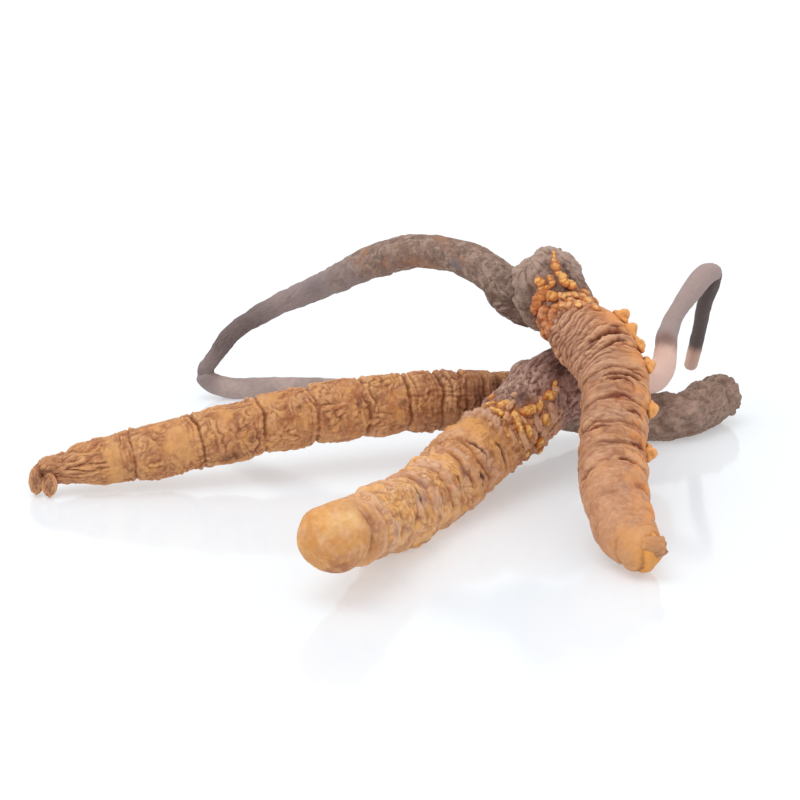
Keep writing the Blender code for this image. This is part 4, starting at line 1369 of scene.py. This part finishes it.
MIDDLE_SKIN_TINTS = [
    ("golden", (238, 176, 96), 0.7, 0.4), ("pinkish", (236, 190, 162), 0.6, 0.5),
    ("rust", (180, 106, 62), 0.7, 0.5), ("violet", (158, 130, 122), 0.8, 0.5),
    ("amber", (208, 141, 74), 0.75, 0.4), ("neck", (184, 120, 74), 0.65, 0.5),
    ("glow", (246, 210, 152), 0.75, 0.4), ("rim", (158, 98, 70), 0.8, 0.4),
    ("mottle", (186, 118, 68), 0.42, 0.6), ("stain", (146, 88, 60), 0.75, 0.4),
    ("honey", (224, 160, 84), 0.7, 0.5), ("lip", (214, 168, 138), 0.7, 0.5),
    ("ridge", (246, 206, 164), 0.35), ("rusty", (172, 104, 66), 0.7, 0.4),
    ("crease", (146, 84, 52), 0.8), ("spot", (112, 70, 52), 0.9), ("gash", (92, 50, 38), 1.0),
    ("pale", (206, 164, 138), 0.85, 0.3), ("flap", (216, 164, 124), 0.9, 0.4),
    ("bead", (236, 172, 88), 1.0, 0.3), ("deep", (190, 106, 48), 0.9, 0.3),
    ("shine", (248, 208, 136), 0.6, 0.4), ("crease", (128, 68, 40), 0.55),
]
RIGHT_SKIN_TONES = ((178, 120, 86), (202, 146, 108), (228, 180, 140))
RIGHT_SKIN_TINTS = [
    ("golden", (222, 158, 98), 0.5, 0.4), ("violet", (160, 128, 114), 0.7, 0.5),
    ("orange", (236, 156, 86), 0.9, 0.35), ("rust", (156, 94, 62), 0.55, 0.4),
    ("amber", (216, 154, 96), 0.9, 0.3), ("torn", (196, 112, 58), 0.75, 0.4),
    ("umber", (150, 76, 38), 0.8, 0.4), ("dusk", (150, 100, 72), 0.42, 0.4),
    ("pinkish", (204, 158, 132), 0.55, 0.4), ("yolk", (230, 158, 74), 0.9, 0.3),
    ("lip", (224, 178, 146), 0.4, 0.4), ("stain", (136, 80, 52), 0.8, 0.4),
    ("rusty", (156, 88, 52), 0.7, 0.4), ("tail", (192, 136, 94), 0.85, 0.4),
    ("bead", (234, 160, 82), 1.0, 0.3), ("leg", (240, 170, 100), 0.8, 0.3),
    ("deep", (190, 108, 62), 0.9, 0.35), ("shine", (248, 200, 126), 0.55, 0.4),
    ("ridge", (242, 198, 158), 0.45), ("crease", (116, 62, 40), 0.85),
    ("gash", (120, 58, 36), 0.95), ("spot", (76, 40, 28), 1.0),
]
LEFT_CRUST_TONES = ((120, 94, 82), (148, 121, 107), (182, 154, 138))
LEFT_CRUST_TINTS = [
    ("dusk", (106, 80, 66), 0.65, 0.5), ("mottle", (188, 158, 140), 0.55, 0.5),
    ("rust", (164, 118, 92), 0.5, 0.5), ("pink", (176, 142, 128), 0.5, 0.5),
    ("ridge", (198, 172, 156), 0.35), ("crease", (78, 58, 48), 0.7), ("hair", (188, 162, 144), 0.9),
]
MIDDLE_CRUST_TONES = ((119, 82, 72), (148, 107, 95), (187, 150, 137))
MIDDLE_CRUST_TINTS = [
    ("dusk", (98, 66, 60), 0.75, 0.5), ("mottle", (188, 150, 138), 0.6, 0.5),
    ("pink", (180, 140, 130), 0.5, 0.5), ("ridge", (206, 170, 158), 0.4),
    ("pale", (212, 178, 156), 0.9, 0.5), ("stain", (80, 50, 44), 0.9, 0.4),
    ("tan", (204, 150, 112), 0.9, 0.4), ("rusty", (142, 86, 60), 0.55, 0.5),
    ("bulb", (230, 195, 180), 0.95), ("mauve", (172, 152, 148), 0.95, 0.1),
    ("spot", (138, 104, 92), 0.9), ("dark", (96, 88, 86), 0.95, 0.1), ("tip", (218, 182, 164), 0.9),
    ("crease", (72, 46, 42), 0.8), ("flap", (214, 164, 130), 0.9, 0.4),
    ("bead", (234, 166, 84), 1.0, 0.3), ("deep", (190, 104, 48), 0.9, 0.3),
    ("shine", (248, 206, 132), 0.6, 0.4), ("crease", (104, 56, 38), 0.6),
    ("hair", (206, 174, 154), 0.9),
]
RIGHT_CRUST_TONES = ((110, 86, 75), (141, 114, 102), (180, 154, 139))
RIGHT_CRUST_TINTS = [
    ("dusk", (102, 76, 64), 0.65, 0.5), ("mottle", (188, 162, 144), 0.55, 0.5),
    ("pink", (178, 146, 132), 0.5, 0.5), ("rust", (166, 116, 84), 0.6, 0.5),
    ("mauve", (152, 136, 134), 0.9, 0.2), ("slate", (120, 110, 112), 0.8, 0.2),
    ("warm", (200, 178, 170), 0.85, 0.2), ("dark", (104, 88, 86), 0.9, 0.1),
    ("shadow", (98, 76, 66), 0.6, 0.4), ("knob", (192, 164, 148), 0.65, 0.5),
    ("ridge", (210, 186, 170), 0.35), ("rusty", (146, 92, 66), 0.6, 0.5),
    ("stain", (76, 52, 44), 0.9, 0.4), ("crease", (76, 56, 46), 0.75),
    ("bead", (234, 160, 82), 1.0, 0.3), ("deep", (190, 108, 62), 0.9, 0.35),
    ("shine", (248, 200, 126), 0.55, 0.4), ("crease", (104, 54, 36), 0.6),
    ("hair", (196, 176, 156), 0.9),
]


def make_pieces():
    """Dresses every solid with the piece that takes its place."""
    left_skin = larva_look("left larva skin", LEFT_SKIN_TONES, LEFT_SKIN_TINTS)
    middle_skin = larva_look("middle larva skin", MIDDLE_SKIN_TONES, MIDDLE_SKIN_TINTS, 0.2)
    right_skin = larva_look("right larva skin", RIGHT_SKIN_TONES, RIGHT_SKIN_TINTS, 0.35)
    left_crust = crust_look("left crust", LEFT_CRUST_TONES, LEFT_CRUST_TINTS)
    middle_crust = crust_look("middle crust", MIDDLE_CRUST_TONES, MIDDLE_CRUST_TINTS)
    right_crust = crust_look("right crust", RIGHT_CRUST_TONES, RIGHT_CRUST_TINTS)
    add_piece("left_larva", "larva_left", left_larva(), left_skin)
    add_piece("left_stroma", "stroma_left", left_stroma(), left_crust)
    add_piece("middle_larva", "larva_middle", middle_larva(), middle_skin)
    add_piece("middle_stroma", "stroma_middle", middle_stroma(), middle_crust)
    add_piece("right_larva", "larva_right", right_larva(), right_skin)
    add_piece("right_stroma", "stroma_right", right_stroma(), right_crust)


FLOOR_SIZE = 6.0
# The floor is lit from below as well, which keeps the shadows on it pale
FLOOR_TONE = (0.545, 0.59, 0.635, 1.0)
FLOOR_GLOW = 0.35
FLOOR_ROUGHNESS = 0.1
FLOOR_IOR = 1.45
BACKDROP_STRENGTH = 0.9
PANEL_PLACE = (-0.2, -0.1, 0.7)
PANEL_SIZE = 0.5
PANEL_POWER = 1.6
CAMERA_TILT = math.radians(18.5)
CAMERA_HEIGHT = 111.07
FOCAL_PIXELS = 3333.0
PICTURE_PIXELS = 800.0
SENSOR = 36.0
# The row of the photograph, counted from its middle, where the floor is straight under the origin
ORIGIN_ROW = 56.0


def add_floor():
    """A plain glossy white floor, far larger than the view."""
    half = FLOOR_SIZE / 2
    mesh = bpy.data.meshes.new("floor")
    corners = [(-half, -half, 0), (half, -half, 0), (half, half, 0), (-half, half, 0)]
    mesh.from_pydata(corners, [], [(0, 1, 2, 3)])
    look = bpy.data.materials.new("white acrylic")
    look.use_nodes = True
    shader = look.node_tree.nodes["Principled BSDF"]
    shader.inputs["Base Color"].default_value = FLOOR_TONE
    shader.inputs["Roughness"].default_value = FLOOR_ROUGHNESS
    shader.inputs["IOR"].default_value = FLOOR_IOR
    shader.inputs["Emission Color"].default_value = (1.0, 1.0, 1.0, 1.0)
    shader.inputs["Emission Strength"].default_value = FLOOR_GLOW
    mesh.materials.append(look)
    floor = placed("floor", mesh)


def add_camera():
    """The photograph's camera: a long lens, looking down at the bundle from the front."""
    data = bpy.data.cameras.new("camera")
    data.sensor_width = SENSOR
    data.lens = SENSOR * FOCAL_PIXELS / PICTURE_PIXELS
    data.clip_start = 0.01
    camera = placed("camera", data)
    drop = ORIGIN_ROW / FOCAL_PIXELS
    depth = CAMERA_HEIGHT / (math.sin(CAMERA_TILT) + drop * math.cos(CAMERA_TILT))
    back = depth * (math.cos(CAMERA_TILT) - drop * math.sin(CAMERA_TILT))
    place = np.array([0.0, -back, CAMERA_HEIGHT]) - BUNDLE_CENTRE
    camera.location = Vector(place * METRES_PER_MM)
    camera.rotation_euler = (math.pi / 2 - CAMERA_TILT, 0, 0)
    bpy.context.scene.camera = camera


def add_light(name, place, size, power):
    """A large square panel of white light aimed at the bundle."""
    data = bpy.data.lights.new(name, "AREA")
    data.shape = "SQUARE"
    data.size = size
    data.energy = power
    light = placed(name, data)
    light.location = place
    light.rotation_euler = (-Vector(place)).to_track_quat("-Z", "Y").to_euler()


def add_lights():
    """Even white light from all round, and one soft panel above."""
    world = bpy.data.worlds.new("studio")
    bpy.context.scene.world = world
    world.use_nodes = True
    backdrop = world.node_tree.nodes["Background"]
    backdrop.inputs["Color"].default_value = (1, 1, 1, 1)
    backdrop.inputs["Strength"].default_value = BACKDROP_STRENGTH
    add_light("top panel", PANEL_PLACE, PANEL_SIZE, PANEL_POWER)
    bpy.context.scene.view_settings.view_transform = "Standard"


add_camera()
add_lights()
add_floor()
make_pieces()
